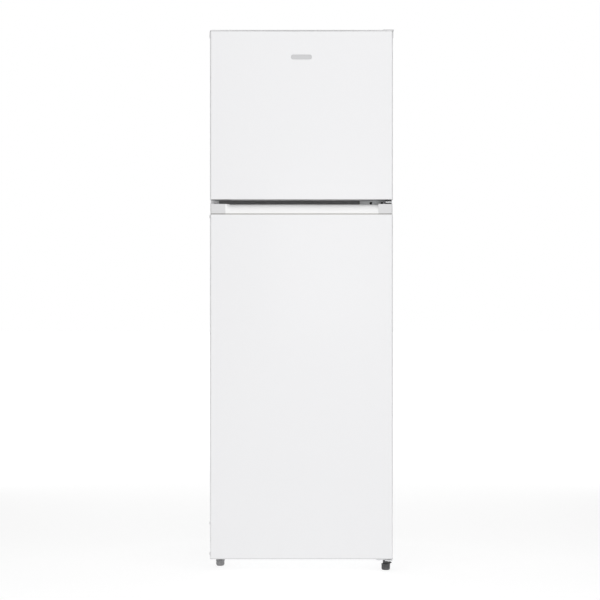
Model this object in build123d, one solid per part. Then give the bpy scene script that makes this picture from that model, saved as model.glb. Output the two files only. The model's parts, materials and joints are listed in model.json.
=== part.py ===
from build123d import *
import math
import os

# A two-door, top-freezer refrigerator, free standing, hinged on its right side.
# Millimetres. +Z is up, the doors face -Y, and the origin is on the floor under the middle of the whole.

# ---- overall ----
cabinet_width = 550.0
cabinet_depth = 510.0
door_inset = 2.5              # how far each door side stands inside the cabinet's side
door_thickness = 60.0
fridge_door_height = 1058.0
freezer_door_height = 504.0
floor_gap = 40.0
cabinet_crown = 11.0          # how far the cabinet top stays below the freezer door's top
rear_spacer = 11.0
gasket_gap = 8.0

# ---- walls and sheets ----
steel = 1.0
liner_wall = 1.5
side_wall = 45.0
freezer_side_wall = 55.0
fridge_floor_wall = 50.0
freezer_roof_wall = 55.0
fridge_back_wall = 51.0
freezer_back_wall = 68.0
mullion_height = 68.0
pan_sheet = 1.5
frame_lip = 4.0               # how far the front frame's openings reach past the compartments
frame_width = 39.0
fit = 0.05                    # radial clearance of every running fit
slide_gap = 0.3               # clearance under or beside a part that slides
cut = 1.0                     # how far a cutting tool runs past the face it cuts

# ---- strip and plug on the bar between the doors ----
trim_left_margin = 25.0
trim_hinge_gap = 8.5
trim_height = 20.0
trim_thickness = 1.5
hole_plug_radius = 2.6
hole_plug_rise = 1.2

# ---- top cover ----
cover_height = 25.0
cover_overhang = 3.0
cover_front_step = 2.0
cover_wall = 2.5
cover_edge_radius = 8.0
hinge_bay_width = 82.0
hinge_bay_depth = 78.0
hinge_bay_gap = 0.5
nose_roof = 1.2
nose_side = 3.5
nose_gap = 0.5

# ---- door insides ----
door_edge_radius = 6.0
dyke_height = 25.0
dyke_width = 18.0
dyke_clearance = 8.0
dyke_end_clearance = 6.0
pocket_depth = 10.0
bin_wall = 2.5
bin_depth = 90.0
freezer_bin_depth = 80.0
bin_height = 75.0
bottle_bin_height = 120.0
bin_side_gap = 0.5
bin_lug = 6.0
bin_lug_height = 8.0
bin_lug_length = 28.0
freezer_bin_rise = 16.0       # from the pocket's floor to the lowest bin
freezer_bin_pitch = 170.0
bottle_bin_rise = 12.0
fridge_bin_headroom = 120.8
fridge_bin_pitch = 195.0
fridge_bin_count = 3

# ---- door seals ----
gasket_width = 18.0
gasket_inset = 15.5
gasket_roof_overlap = 12.0
gasket_foot_overlap = 34.0
gasket_groove_setback = 2.0
gasket_groove_depth = 2.0
gasket_groove_inset = 5.0
gasket_groove_width = 3.0

# ---- door caps, badge and edge plugs ----
top_cap_thickness = 16.0
top_cap_dip = 3.0
top_cap_lip = 4.0
bottom_cap_thickness = 14.0
freezer_bottom_lip = 1.0
fridge_bottom_lip = 3.0
grip_height = 31.0
grip_depth = 20.0
grip_foot = 3.0
grip_left_margin = 46.0
grip_right_margin = 43.0
cap_inset = 1.0
groove_left_margin = 60.0
groove_right_margin = 90.0
groove_setback = 12.0
groove_width = 24.0
groove_height = 10.0
groove_round = 10.0
badge_rise = 1.0
badge_width = 62.0
badge_height = 14.0
badge_below_top = 80.0
edge_plug_radius = 5.0
edge_plug_rise = 2.2
edge_plug_setback = 18.0
edge_plug_chamfer = 0.9
edge_plug_levels = (13.0, 105.0)
edge_plug_below_grip = 6.0

# ---- hinges and screws ----
pin_radius = 4.0
pin_from_edge = 10.5
pin_from_front = 27.0
pin_reach = 12.0
arm_thickness = 4.0
arm_nose = 10.0               # how far every arm reaches in front of its pin
arm_outer = 9.0               # and beside it, on the outer side
middle_arm_inner = 10.0
washer_radius = 8.2
washer_height = 4.5
top_arm_thickness = 2.5
top_arm_gap = 1.0
top_arm_inner = 14.0
top_arm_outer = 10.0
top_plate_inner = 58.0
top_plate_outer = 6.0
top_plate_front = 4.0
top_plate_back = 66.0
top_screw_inner = 48.0
top_screw_outer = 8.0
top_screw_front = 18.0
top_screw_back = 50.0
hinge_flange = 3.0
hinge_flange_height = 24.0
hinge_flange_length = 86.0
middle_screw_offsets = (52.0, 18.4)
middle_hole_offsets = (74.0, 41.0, 31.0)
middle_hole_radius = 1.6
low_plate = 3.0
low_plate_front = 2.0
low_plate_back = 72.0
low_plate_inner = 72.0
low_arm_inner = 36.0
low_arm_outer = 10.0
low_arm_relief_inner = 12.0   # the arm's inner corner is cut away up to here beside the pin
low_arm_relief_back = 6.0     # and back to here behind it
low_pin_tail = 3.0
gusset_inner = 58.0
gusset_outer = 24.0
gusset_tip = 7.0
screw_head_radius = 4.0
screw_head_height = 2.4
screw_head_chamfer = 0.8
screw_radius = 2.0
screw_length = 9.0
cover_screw_margin = 24.0
cover_screw_low = 20.0
cover_screw_high = 12.0

# ---- fridge shelves and drawer ----
shelf_count = 4
shelf_base_gap = 11.0         # from the drawer or the step, whichever is higher, to the lowest shelf
glass_thickness = 4.0
shelf_front_setback = 89.0
shelf_rear_gap = 12.0
shelf_side_gap = 2.0
shelf_ledge = 7.0
shelf_ledge_height = 5.0
shelf_trim_depth = 12.0
shelf_rear_trim_depth = 8.0
shelf_trim_height = 11.0
shelf_trim_drop = 3.0
shelf_trim_gap = 1.0
glass_groove = 4.0            # how far the glass stands inside each trim
drawer_wall = 2.5
drawer_height = 206.0
drawer_side_gap = 18.0
drawer_rear_gap = 6.0
drawer_front_setback = 91.0
drawer_grip_half = 90.0
drawer_grip_depth = 7.0
drawer_grip_drop = 22.0
drawer_grip_height = 4.0

# ---- freezer compartment ----
freezer_shelf_headroom = 194.6
freezer_shelf_thickness = 4.0
freezer_shelf_setback = 79.0
freezer_shelf_rear_gap = 2.0
freezer_shelf_side_gap = 0.5
freezer_shelf_nose = 8.0
freezer_slot_pitch = 24.0
freezer_slot_width = 12.0
freezer_slot_margin = 22.0
freezer_slot_front = 24.0
freezer_slot_rear = 16.0
evaporator_cover_setback = 375.0
evaporator_cover_sheet = 3.0
grille_slot = 4.0
grille_pitch = 10.0
return_slot_width = 6.0
return_slot_pitch = 24.0
return_slot_margin = 50.0
return_slot_low = 10.0
return_slot_height = 24.0
evaporator_side_gap = 40.0
evaporator_base_gap = 20.0
evaporator_fan_gap = 45.0
evaporator_clearance = 14.0
evaporator_rows = 6
evaporator_fins = 19
evaporator_tube = 4.0
evaporator_tube_overrun = 8.0
evaporator_bend_radius = 3.6
fin_thickness = 1.0
fan_below_ceiling = 70.0
fan_radius = 48.0
fan_depth = 18.0
fan_front_gap = 8.0
fan_motor_gap = 4.0
fan_motor_radius = 22.0
fan_shaft_radius = 2.5
fan_hub_radius = 14.0
fan_blades = 5
fan_blade_length = 34.0
fan_blade_thickness = 2.0
fan_blade_chord = 26.0
fan_blade_pitch = 35.0

# ---- ice maker ----
tray_half = 48.0
tray_height = 30.0
tray_below_axis = 22.0
tray_length = 188.0
tray_wall = 3.0
tray_floor = 2.0
tray_brim = 6.0
tray_columns = 2
tray_rows = 6
tray_axle_radius = 4.0
tray_tab_half = 20.0
tray_tab_height = 14.0
tray_tab_depth = 6.0
tray_tab_gap = 3.0
ice_frame_wall = 3.0
ice_frame_inner_half = 56.0
ice_frame_length = 200.0
ice_frame_below_axis = 26.0
ice_frame_above_axis = 20.0
ice_axis_above_shelf = 96.0
ice_setback = 87.0
ice_bin_height = 42.0
ice_bin_wall = 2.0
ice_bin_side_gap = 2.0
ice_bin_pull_half = 30.0
ice_bin_pull_depth = 8.0
ice_bin_pull_height = 6.0

# ---- air duct, thermostat, lamp and lamp switch ----
duct_half = 70.0
duct_depth = 8.0
duct_foot_gap = 14.0
duct_slot_offsets = (60.0, 76.0, 92.0)
duct_slot_height = 6.0
duct_slot_margin = 20.0
duct_slot_depth = 5.0
control_half = 95.0
control_depth = 110.0
control_height = 42.0
control_setback = 97.0
control_edge_radius = 5.0
knob_x = 50.0
knob_radius = 15.0
knob_disc = 8.0
knob_depth = 14.0
knob_bar_half = 3.0
knob_bar_inset = 2.0
knob_shaft_radius = 3.0
knob_shaft_length = 12.0
lamp_half = 60.0
lamp_depth = 80.0
lamp_height = 30.0
lamp_wall = 3.0
lamp_lens = 8.0
lamp_round = 8.0
switch_radius = 4.0
switch_setback = 15.0
switch_below_ceiling = 62.0
switch_boss_depth = 30.0
switch_boss_half = 8.0
switch_boss_half_height = 10.0
switch_boss_end = 3.0

# ---- compressor compartment ----
compartment_depth = 150.0
compartment_height = 230.0
step_foam = 38.0
compressor_radius = 62.0
compressor_height = 130.0
compressor_x = 60.0
compressor_top_round = 24.0
compressor_foot_round = 10.0
seam_level = 58.5
seam_rise = 4.0
seam_height = 6.0
compressor_base_sheet = 2.0
mount_plate = 3.0
mount_half_length = 92.0
mount_half_width = 60.0
grommet_height = 10.0
grommet_radius = 12.0
grommet_inset_x = 14.0
grommet_inset_y = 12.0
relay_reach = 24.0
relay_half = 22.0
relay_low = 22.0
relay_height = 32.0
drip_tray_half_length = 80.0
drip_tray_half_width = 60.0
drip_tray_height = 28.0
drip_tray_wall = 2.0
tube_radius = 3.0
tube_bend = 12.0
tube_inset = 4.0              # how far inside the can's side each tube starts
discharge_level = 30.0
discharge_reach = 60.0
discharge_rise = 80.0
discharge_offset = 40.0
suction_level = 75.0
suction_reach = 70.0
suction_offset = 30.0
louvre_width = 130.0
louvre_column_pitch = 150.0
louvre_height = 6.0
louvre_pitch = 16.0
louvre_foot = 55.0
louvre_top_margin = 35.0
inlet_from_side = 70.0
inlet_height = 22.0
inlet_radius = 9.0
inlet_bore = 3.8
inlet_inner_length = 6.0
inlet_outer_length = 8.0
inlet_rim = 3.0
inlet_rim_thickness = 2.5

# ---- feet and rollers ----
foot_radius = 14.0
foot_height = 18.0
foot_round = 2.0
foot_ribs = 18
foot_notch_radius = 1.3
foot_notch_offset = 0.6
foot_notch_end = 3.0
left_foot_taper = 2.0
right_foot_taper = 1.0
stem_radius = 5.0
stem_boss_wall = 4.0
stem_boss_drop = 16.0
neck_radius = 8.5
neck_ribs = 10
left_foot_from_side = 27.0
left_foot_from_front = 42.0
right_foot_from_pin_x = 8.0
right_foot_from_pin_y = 21.0
right_stem_end = 1.5
roller_radius = 12.0
roller_width = 14.0
roller_chamfer = 1.0
roller_axle_radius = 3.0
roller_axle_end = 4.5
roller_from_side = 45.0
roller_from_back = 33.0
cheek_gap = 1.0
cheek_thickness = 2.0
cheek_below_axle = 6.0

# ---- places worked out from the sizes above ----
total_depth = badge_rise + door_thickness + gasket_gap + cabinet_depth + rear_spacer
door_front_y = -total_depth / 2 + badge_rise
door_back_y = door_front_y + door_thickness
cabinet_front_y = door_back_y + gasket_gap
cabinet_back_y = cabinet_front_y + cabinet_depth
rear_y = cabinet_back_y + rear_spacer
cover_front_y = cabinet_front_y - cover_front_step

half_cabinet = cabinet_width / 2
half_inside = half_cabinet - steel
half_door = half_cabinet - door_inset
half_fridge = half_cabinet - side_wall
half_freezer = half_cabinet - freezer_side_wall
half_cover = half_cabinet + cover_overhang
half_frame_opening = half_cabinet - frame_width

door_gap = 2 * (washer_height + slide_gap) + arm_thickness
fridge_door_top = floor_gap + fridge_door_height
freezer_door_bottom = fridge_door_top + door_gap
freezer_door_top = freezer_door_bottom + freezer_door_height
gap_middle = (fridge_door_top + freezer_door_bottom) / 2
grip_bottom = fridge_door_top - grip_height
cabinet_top = freezer_door_top - cabinet_crown
cover_top = cabinet_top + cover_height

fridge_floor = floor_gap + fridge_floor_wall
fridge_ceiling = gap_middle - mullion_height / 2
freezer_floor = gap_middle + mullion_height / 2
freezer_ceiling = cabinet_top - freezer_roof_wall
fridge_back_y = cabinet_back_y - fridge_back_wall
freezer_back_y = cabinet_back_y - freezer_back_wall

bulkhead_y = cabinet_back_y - compartment_depth
compartment_top = floor_gap + compartment_height
step_y = bulkhead_y - pan_sheet - step_foam - liner_wall
step_top = compartment_top + pan_sheet + step_foam + liner_wall

pin_x = half_door - pin_from_edge
pin_y = door_front_y + pin_from_front
arm_bottom = gap_middle - arm_thickness / 2
low_arm_top = floor_gap - slide_gap - washer_height
low_arm_bottom = low_arm_top - arm_thickness
top_arm_bottom = freezer_door_top + top_arm_gap
top_arm_top = top_arm_bottom + top_arm_thickness
flange_left = pin_x + arm_outer - hinge_flange_length

shelf_front_y = cabinet_front_y + shelf_front_setback
shelf_rear_y = fridge_back_y - shelf_rear_gap
shelf_base = max(fridge_floor + slide_gap + drawer_height, step_top) + shelf_base_gap
shelf_pitch = (fridge_ceiling - shelf_base) / shelf_count
shelf_levels = [shelf_base + index * shelf_pitch for index in range(shelf_count)]
control_front_y = cabinet_front_y + control_setback
control_z = fridge_ceiling - control_height / 2 - cut
switch_face_y = door_back_y + dyke_height + switch_setback
switch_x = half_fridge - dyke_clearance - dyke_width / 2
switch_z = fridge_ceiling - switch_below_ceiling

freezer_shelf_level = freezer_ceiling - freezer_shelf_headroom
freezer_shelf_top = freezer_shelf_level + freezer_shelf_thickness
evaporator_cover_y = cabinet_front_y + evaporator_cover_setback
evaporator_front_y = evaporator_cover_y + evaporator_cover_sheet + evaporator_clearance
evaporator_half = half_freezer - evaporator_side_gap
fan_z = freezer_ceiling - fan_below_ceiling
fan_front_y = evaporator_cover_y + evaporator_cover_sheet + fan_front_gap
evaporator_low = freezer_floor + evaporator_base_gap
evaporator_high = fan_z - fan_radius - evaporator_fan_gap
ice_x = -half_freezer + ice_frame_wall + ice_frame_inner_half
ice_front_y = cabinet_front_y + ice_setback
ice_back_y = ice_front_y + ice_frame_length
ice_axis_z = freezer_shelf_top + ice_axis_above_shelf

compressor_y = (bulkhead_y + cabinet_back_y) / 2
grommet_base = floor_gap + compressor_base_sheet
mount_base = grommet_base + grommet_height
compressor_base_z = mount_base + mount_plate
inlet_x = -half_cabinet + inlet_from_side
inlet_z = floor_gap + inlet_height

left_foot_x = -half_cabinet + left_foot_from_side
left_foot_y = cabinet_front_y + left_foot_from_front
right_foot_x = pin_x - right_foot_from_pin_x
right_foot_y = pin_y + right_foot_from_pin_y
roller_x = half_cabinet - roller_from_side
roller_y = cabinet_back_y - roller_from_back


def block(x0, x1, y0, y1, z0, z1):
    """A box between two opposite corners."""
    middle = Pos((x0 + x1) / 2, (y0 + y1) / 2, (z0 + z1) / 2)
    return middle * Box(x1 - x0, y1 - y0, z1 - z0)


def wide_block(half, y0, y1, z0, z1):
    """A box that is centred on the middle plane."""
    return block(-half, half, y0, y1, z0, z1)


def post(x, y, radius, z0, z1):
    """An upright cylinder."""
    return Pos(x, y, (z0 + z1) / 2) * Cylinder(radius, z1 - z0)


def rod_y(x, z, radius, y0, y1):
    """A cylinder that runs from front to back."""
    return Pos(x, (y0 + y1) / 2, z) * Rot(90, 0, 0) * Cylinder(radius, y1 - y0)


def rod_x(y, z, radius, x0, x1):
    """A cylinder that runs from left to right."""
    return Pos((x0 + x1) / 2, y, z) * Rot(0, 90, 0) * Cylinder(radius, x1 - x0)


def joined(pieces):
    """One shape from a list of shapes."""
    whole = pieces[0]
    for piece in pieces[1:]:
        whole = whole + piece
    return whole


def group(solids):
    """Separate solids that share one file."""
    return Compound(children=[s if isinstance(s, Solid) else s.solids()[0] for s in solids])


def open_box(x0, x1, y0, y1, z0, z1, wall):
    """A box with a floor and four walls, open at the top."""
    inner = block(x0 + wall, x1 - wall, y0 + wall, y1 - wall, z0 + wall, z1 + cut)
    return block(x0, x1, y0, y1, z0, z1) - inner


def save(shape, name):
    """Write one sub-part."""
    export_step(shape, "parts/" + name + ".step")


# ---- cabinet ----

def front_opening(z0, z1):
    """The hole in the steel front frame in front of one compartment."""
    return wide_block(half_frame_opening, cabinet_front_y - cut, cabinet_front_y + steel + cut,
                      z0 - frame_lip, z1 + frame_lip)


def make_cabinet_shell():
    """The steel wrap: two sides, the top and the front frame with its bar between the doors."""
    outer = wide_block(half_cabinet, cabinet_front_y, cabinet_back_y, floor_gap, cabinet_top)
    inner = wide_block(half_inside, cabinet_front_y + steel, cabinet_back_y + cut,
                       floor_gap - cut, cabinet_top - steel)
    shell = outer - inner
    shell = shell - front_opening(fridge_floor, fridge_ceiling)
    shell = shell - front_opening(freezer_floor, freezer_ceiling)
    return shell - screw_shanks()


def make_back_panel():
    """The flat rear sheet above the compressor compartment."""
    return wide_block(half_inside, cabinet_back_y - steel, cabinet_back_y,
                      compartment_top + pan_sheet, cabinet_top - steel)


def foot_boss(x, y):
    """The threaded boss under the base that takes a foot's stem."""
    return post(x, y, stem_radius + stem_boss_wall, floor_gap - stem_boss_drop, floor_gap + pan_sheet)


def make_base_pan():
    """The stepped bottom panel, which goes up and over the compressor compartment and lines its sides."""
    floor = wide_block(half_inside, cabinet_front_y + steel, bulkhead_y, floor_gap, floor_gap + pan_sheet)
    riser = wide_block(half_inside, bulkhead_y - pan_sheet, bulkhead_y, floor_gap,
                       compartment_top + pan_sheet)
    roof = wide_block(half_inside, bulkhead_y - pan_sheet, cabinet_back_y,
                      compartment_top, compartment_top + pan_sheet)
    pan = floor + riser + roof + foot_boss(left_foot_x, left_foot_y)
    for side in (-1, 1):
        edges = sorted((side * half_inside, side * (half_inside - pan_sheet)))
        pan = pan + block(edges[0], edges[1], bulkhead_y, cabinet_back_y - pan_sheet,
                          floor_gap, compartment_top)
    bore = post(left_foot_x, left_foot_y, stem_radius + fit, floor_gap - stem_boss_drop - cut, floor_gap)
    return pan - bore


def roller_cheeks(x):
    """The two cheeks that carry one roller's axle."""
    cheeks = []
    for side in (-1, 1):
        inner = x + side * (roller_width / 2 + cheek_gap)
        outer = inner + side * cheek_thickness
        x0, x1 = sorted((inner, outer))
        cheek = block(x0, x1, roller_y - roller_radius, roller_y + roller_radius,
                      roller_radius - cheek_below_axle, floor_gap)
        cheeks.append(cheek - rod_x(roller_y, roller_radius, roller_axle_radius + fit, x0 - cut, x1 + cut))
    return joined(cheeks)


def make_compressor_base():
    """The rear cross plate that carries the compressor and the two rollers."""
    plate = wide_block(half_inside - pan_sheet, bulkhead_y, cabinet_back_y - pan_sheet,
                       floor_gap, floor_gap + compressor_base_sheet)
    return plate + roller_cheeks(-roller_x) + roller_cheeks(roller_x)


def fridge_hollow(grow):
    """The fridge compartment, larger by a wall on every inner side."""
    whole = wide_block(half_fridge + grow, cabinet_front_y - cut, fridge_back_y + grow,
                       fridge_floor - grow, fridge_ceiling + grow)
    step = wide_block(half_cabinet, step_y + grow, cabinet_back_y, 0, step_top - grow)
    return whole - step


def freezer_hollow(grow):
    """The freezer compartment, larger by a wall on every inner side."""
    return wide_block(half_freezer + grow, cabinet_front_y - cut, freezer_back_y + grow,
                      freezer_floor - grow, freezer_ceiling + grow)


def liner_flange(z0, z1):
    """The liner's front rim, which fills the steel frame's opening."""
    return wide_block(half_frame_opening, cabinet_front_y, cabinet_front_y + steel,
                      z0 - frame_lip, z1 + frame_lip)


def wall_ledges(half, level, y0, y1):
    """A pair of ledges on the side walls under a shelf."""
    ledges = []
    for side in (-1, 1):
        edges = sorted((side * half, side * (half - shelf_ledge)))
        ledges.append(block(edges[0], edges[1], y0, y1, level - shelf_ledge_height, level))
    return joined(ledges)


def make_fridge_liner():
    """The moulded fridge compartment with its shelf ledges and the lamp switch boss."""
    shell = fridge_hollow(liner_wall) + liner_flange(fridge_floor, fridge_ceiling)
    shell = shell - fridge_hollow(0)
    shell = shell & wide_block(half_cabinet, cabinet_front_y, cabinet_back_y, 0, cabinet_top)
    for level in shelf_levels:
        shell = shell + wall_ledges(half_fridge, level, shelf_front_y, shelf_rear_y)
    boss = block(switch_x - switch_boss_half, half_fridge, switch_face_y,
                 switch_face_y + switch_boss_depth, switch_z - switch_boss_half_height,
                 switch_z + switch_boss_half_height)
    bore = rod_y(switch_x, switch_z, switch_radius + fit, switch_face_y - cut,
                 switch_face_y + switch_boss_depth - switch_boss_end)
    return shell + boss - bore


def make_freezer_liner():
    """The moulded freezer compartment with its shelf ledges."""
    shell = freezer_hollow(liner_wall) + liner_flange(freezer_floor, freezer_ceiling)
    shell = shell - freezer_hollow(0)
    shell = shell & wide_block(half_cabinet, cabinet_front_y, cabinet_back_y, 0, cabinet_top)
    return shell + wall_ledges(half_freezer, freezer_shelf_level,
                               cabinet_front_y + freezer_shelf_setback, evaporator_cover_y)


def foam_zones():
    """The blocks that divide the insulation into flat panels round the two compartments."""
    freezer_side = half_freezer + liner_wall
    fridge_side = half_fridge + liner_wall
    roof = freezer_ceiling + liner_wall
    bar_top = freezer_floor - liner_wall
    bar_bottom = fridge_ceiling + liner_wall
    floor = fridge_floor - liner_wall
    step = step_top - liner_wall
    bay_front = bulkhead_y - pan_sheet
    ends = (cabinet_front_y, cabinet_back_y)
    zones = [wide_block(half_cabinet, *ends, roof, cabinet_top),
             wide_block(freezer_side, *ends, bar_top, roof),
             wide_block(half_cabinet, *ends, bar_bottom, bar_top),
             wide_block(fridge_side, *ends, step, bar_bottom),
             wide_block(fridge_side, bay_front, cabinet_back_y, 0, step),
             wide_block(fridge_side, cabinet_front_y, bay_front, floor, step),
             wide_block(fridge_side, cabinet_front_y, bay_front, 0, floor)]
    for side in (-1, 1):
        across = sorted((side * freezer_side, side * half_cabinet))
        zones.append(block(*across, *ends, bar_top, roof))
        across = sorted((side * fridge_side, side * half_cabinet))
        zones.append(block(*across, cabinet_front_y, bay_front, 0, bar_bottom))
        zones.append(block(*across, bay_front, cabinet_back_y, 0, bar_bottom))
    return zones


def make_cabinet_foam():
    """The insulation between the steel shell and the liners, in flat panels that meet."""
    core = wide_block(half_inside, cabinet_front_y + steel, cabinet_back_y - steel,
                      floor_gap + pan_sheet, cabinet_top - steel)
    core = core - fridge_hollow(liner_wall) - freezer_hollow(liner_wall) - screw_shanks()
    core = core - wide_block(half_cabinet, bulkhead_y - pan_sheet, cabinet_back_y,
                             0, compartment_top + pan_sheet)
    return group([panel for zone in foam_zones() for panel in (core & zone).solids()])


def make_mullion_trim():
    """The dark strip on the bar between the two doors, up to the middle hinge."""
    return block(-half_cabinet + trim_left_margin, flange_left - trim_hinge_gap,
                 cabinet_front_y - trim_thickness, cabinet_front_y,
                 gap_middle - trim_height / 2, gap_middle + trim_height / 2)


# ---- top cover ----

def cover_box(x0, x1, y0, y1):
    """A block as tall as the lid, standing on the cabinet top."""
    return block(x0, x1, y0, y1, cabinet_top, cover_top)


def make_top_cover():
    """The plastic lid on the cabinet, with a bay for the hinge at its right front corner."""
    lid = cover_box(-half_cover, half_cover, cover_front_y, rear_y)
    long_edges = lid.edges().filter_by(Axis.Y).group_by(Axis.Z)[-1]
    lid = fillet(long_edges, cover_edge_radius)
    front = cover_front_y + cover_wall
    back = cabinet_back_y - cover_wall
    low_half = half_cover - cover_wall
    high_half = half_cover - cover_edge_radius
    hollow = wide_block(low_half, front, back, cabinet_top - cut, cover_top - cover_edge_radius)
    hollow = hollow + wide_block(high_half, front, back, cabinet_top, cover_top - cover_wall)
    bay_x = half_cover - hinge_bay_width
    bay_y = cover_front_y + hinge_bay_depth
    walls = block(bay_x - cover_wall, high_half, front, bay_y + cover_wall, cabinet_top,
                  cover_top - cover_wall)
    lid = lid - (hollow - walls)
    bay = block(bay_x, half_cover + cut, cover_front_y - cut, bay_y, cabinet_top - cut, cover_top + cut)
    return lid - bay


def make_hinge_cover():
    """The small lid over the top hinge, with a thin nose along the arm."""
    x0 = half_cover - hinge_bay_width + hinge_bay_gap
    y1 = cover_front_y + hinge_bay_depth - hinge_bay_gap
    lid = cover_box(x0, half_cover, cover_front_y, y1)
    outer_edge = lid.edges().filter_by(Axis.Y).group_by(Axis.Z)[-1].sort_by(Axis.X)[-1]
    lid = fillet(outer_edge, cover_edge_radius)
    hollow = block(x0 + cover_wall, half_cover - cover_wall, cover_front_y + cover_wall,
                   y1 - cover_wall, cabinet_top - cut, cover_top - cover_edge_radius)
    space_x0 = pin_x - top_arm_inner - nose_gap
    space_x1 = pin_x + top_arm_outer + nose_gap
    space_y0 = pin_y - arm_nose - nose_gap
    nose = block(space_x0 - nose_side, space_x1 + nose_side, space_y0 - nose_side, cover_front_y,
                 top_arm_bottom + slide_gap, top_arm_top + nose_roof)
    arm_space = block(space_x0, space_x1, space_y0, cover_front_y + 2 * cover_wall, cabinet_top - cut,
                      top_arm_top + fit)
    return lid - hollow + nose - arm_space


# ---- hinges ----

def make_top_hinge():
    """The stepped plate on the cabinet top, its arm over the freezer door and its pin."""
    step_back = cabinet_front_y + top_plate_front
    left = pin_x - top_arm_inner
    right = pin_x + top_arm_outer
    base = block(pin_x - top_plate_inner, pin_x + top_plate_outer, step_back,
                 cabinet_front_y + top_plate_back, cabinet_top, cabinet_top + top_arm_thickness)
    riser = block(left, right, step_back - top_arm_thickness, step_back, cabinet_top, top_arm_top)
    arm = block(left, right, pin_y - arm_nose, step_back, top_arm_bottom, top_arm_top)
    pin = post(pin_x, pin_y, pin_radius, freezer_door_top - pin_reach, top_arm_bottom)
    return base + riser + arm + pin - screw_shanks()


def top_hinge_screw_places():
    """Where the three top hinge screws stand."""
    inner_x = pin_x - top_screw_inner
    back_y = cabinet_front_y + top_screw_back
    return [(inner_x, cabinet_front_y + top_screw_front), (inner_x, back_y),
            (pin_x - top_screw_outer, back_y)]


def middle_screw_places():
    """Where the middle hinge's screws are, along the front of the bar."""
    return [pin_x - offset for offset in middle_screw_offsets]


def make_middle_hinge():
    """The flange on the bar between the doors, its arm and the two pins."""
    right = pin_x + arm_outer
    flange_front = cabinet_front_y - hinge_flange
    flange = block(flange_left, right, flange_front, cabinet_front_y,
                   gap_middle - hinge_flange_height / 2, gap_middle + hinge_flange_height / 2)
    arm = block(pin_x - middle_arm_inner, right, pin_y - arm_nose, flange_front,
                arm_bottom, arm_bottom + arm_thickness)
    pin = post(pin_x, pin_y, pin_radius, fridge_door_top - pin_reach, freezer_door_bottom + pin_reach)
    hinge = flange + arm + pin
    for offset in middle_hole_offsets:
        hinge = hinge - rod_y(pin_x - offset, gap_middle, middle_hole_radius, flange_front - cut,
                              cabinet_front_y + cut)
    return hinge - screw_shanks()


def make_bottom_hinge():
    """The bracket under the cabinet that carries the fridge door's lower pin and the right foot."""
    front = cabinet_front_y + low_plate_front
    right = pin_x + low_arm_outer
    gusset_left = pin_x - gusset_inner
    gusset_right = pin_x - gusset_outer
    under = block(pin_x - low_plate_inner, right, front, cabinet_front_y + low_plate_back,
                  floor_gap - low_plate, floor_gap)
    riser = block(gusset_left, right, front, front + low_plate, low_arm_bottom, floor_gap)
    arm = block(pin_x - low_arm_inner, right, pin_y - arm_nose, front + low_plate,
                low_arm_bottom, low_arm_top)
    relief = block(pin_x - low_arm_inner - cut, pin_x - low_arm_relief_inner, pin_y - arm_nose - cut,
                   pin_y + low_arm_relief_back, low_arm_bottom - cut, low_arm_top + cut)
    back_plate = block(gusset_left, gusset_right, cabinet_front_y - low_plate, front + low_plate,
                       low_arm_bottom, low_arm_top)
    tip = low_arm_bottom - gusset_tip
    corners = [(gusset_left, low_arm_top), (gusset_right, low_arm_top), (gusset_right, tip),
               (gusset_right - gusset_tip, tip)]
    gusset = make_face(Polyline(corners, close=True))
    gusset = Pos(0, cabinet_front_y, 0) * Rot(90, 0, 0) * extrude(gusset, low_plate)
    pin = post(pin_x, pin_y, pin_radius, low_arm_bottom - low_pin_tail, floor_gap + pin_reach)
    bracket = under + riser + (arm - relief) + back_plate + gusset + pin
    bore = post(right_foot_x, right_foot_y, stem_radius + fit, low_arm_bottom - cut, low_arm_top + cut)
    return bracket - bore


def make_hinge_washers():
    """The black washers on the pins, between each arm and the door beside it."""
    washers = []
    for base in (low_arm_top, arm_bottom - washer_height, arm_bottom + arm_thickness):
        ring = post(pin_x, pin_y, washer_radius, base, base + washer_height)
        washers.append(ring - post(pin_x, pin_y, pin_radius, base - cut, base + washer_height + cut))
    return group(washers)


def upright_screw(x, y, z):
    """A pan-head screw driven down into a surface at this height."""
    head = post(x, y, screw_head_radius, z, z + screw_head_height)
    head = chamfer(head.edges().group_by(Axis.Z)[-1], screw_head_chamfer)
    return head + post(x, y, screw_radius, z - screw_length, z)


def front_screw(x, y, z, inward):
    """A pan-head screw that lies along Y, with its head on the surface at this y."""
    return Pos(x, y, z) * Rot(90 * inward, 0, 0) * upright_screw(0, 0, 0)


def cover_screw_places():
    """The corners of the compressor cover."""
    x = half_inside - cover_screw_margin
    levels = (floor_gap + cover_screw_low, compartment_top - cover_screw_high)
    return [(side * x, z) for side in (-1, 1) for z in levels]


def screw_shanks():
    """The shanks of every pan-head screw, as the bores that they fill."""
    shanks = [post(x, y, screw_radius, cabinet_top + top_arm_thickness - screw_length,
                   cabinet_top + top_arm_thickness) for x, y in top_hinge_screw_places()]
    flange_front = cabinet_front_y - hinge_flange
    for x in middle_screw_places():
        shanks.append(rod_y(x, gap_middle, screw_radius, flange_front, flange_front + screw_length))
    for x, z in cover_screw_places():
        shanks.append(rod_y(x, z, screw_radius, cabinet_back_y - screw_length, cabinet_back_y))
    return joined(shanks)


def make_panel_screws():
    """All the pan-head screws: top hinge, middle hinge and compressor cover."""
    screws = [upright_screw(x, y, cabinet_top + top_arm_thickness) for x, y in top_hinge_screw_places()]
    for x in middle_screw_places():
        screws.append(front_screw(x, cabinet_front_y - hinge_flange, gap_middle, 1))
    for x, z in cover_screw_places():
        screws.append(front_screw(x, cabinet_back_y, z, -1))
    return group(screws)


def make_hinge_hole_plug():
    """The plug in the spare hinge hole on the left, for hanging the doors the other way round."""
    return rod_y(-pin_x, gap_middle, hole_plug_radius, cabinet_front_y - hole_plug_rise, cabinet_front_y)


# ---- compressor compartment ----

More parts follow.
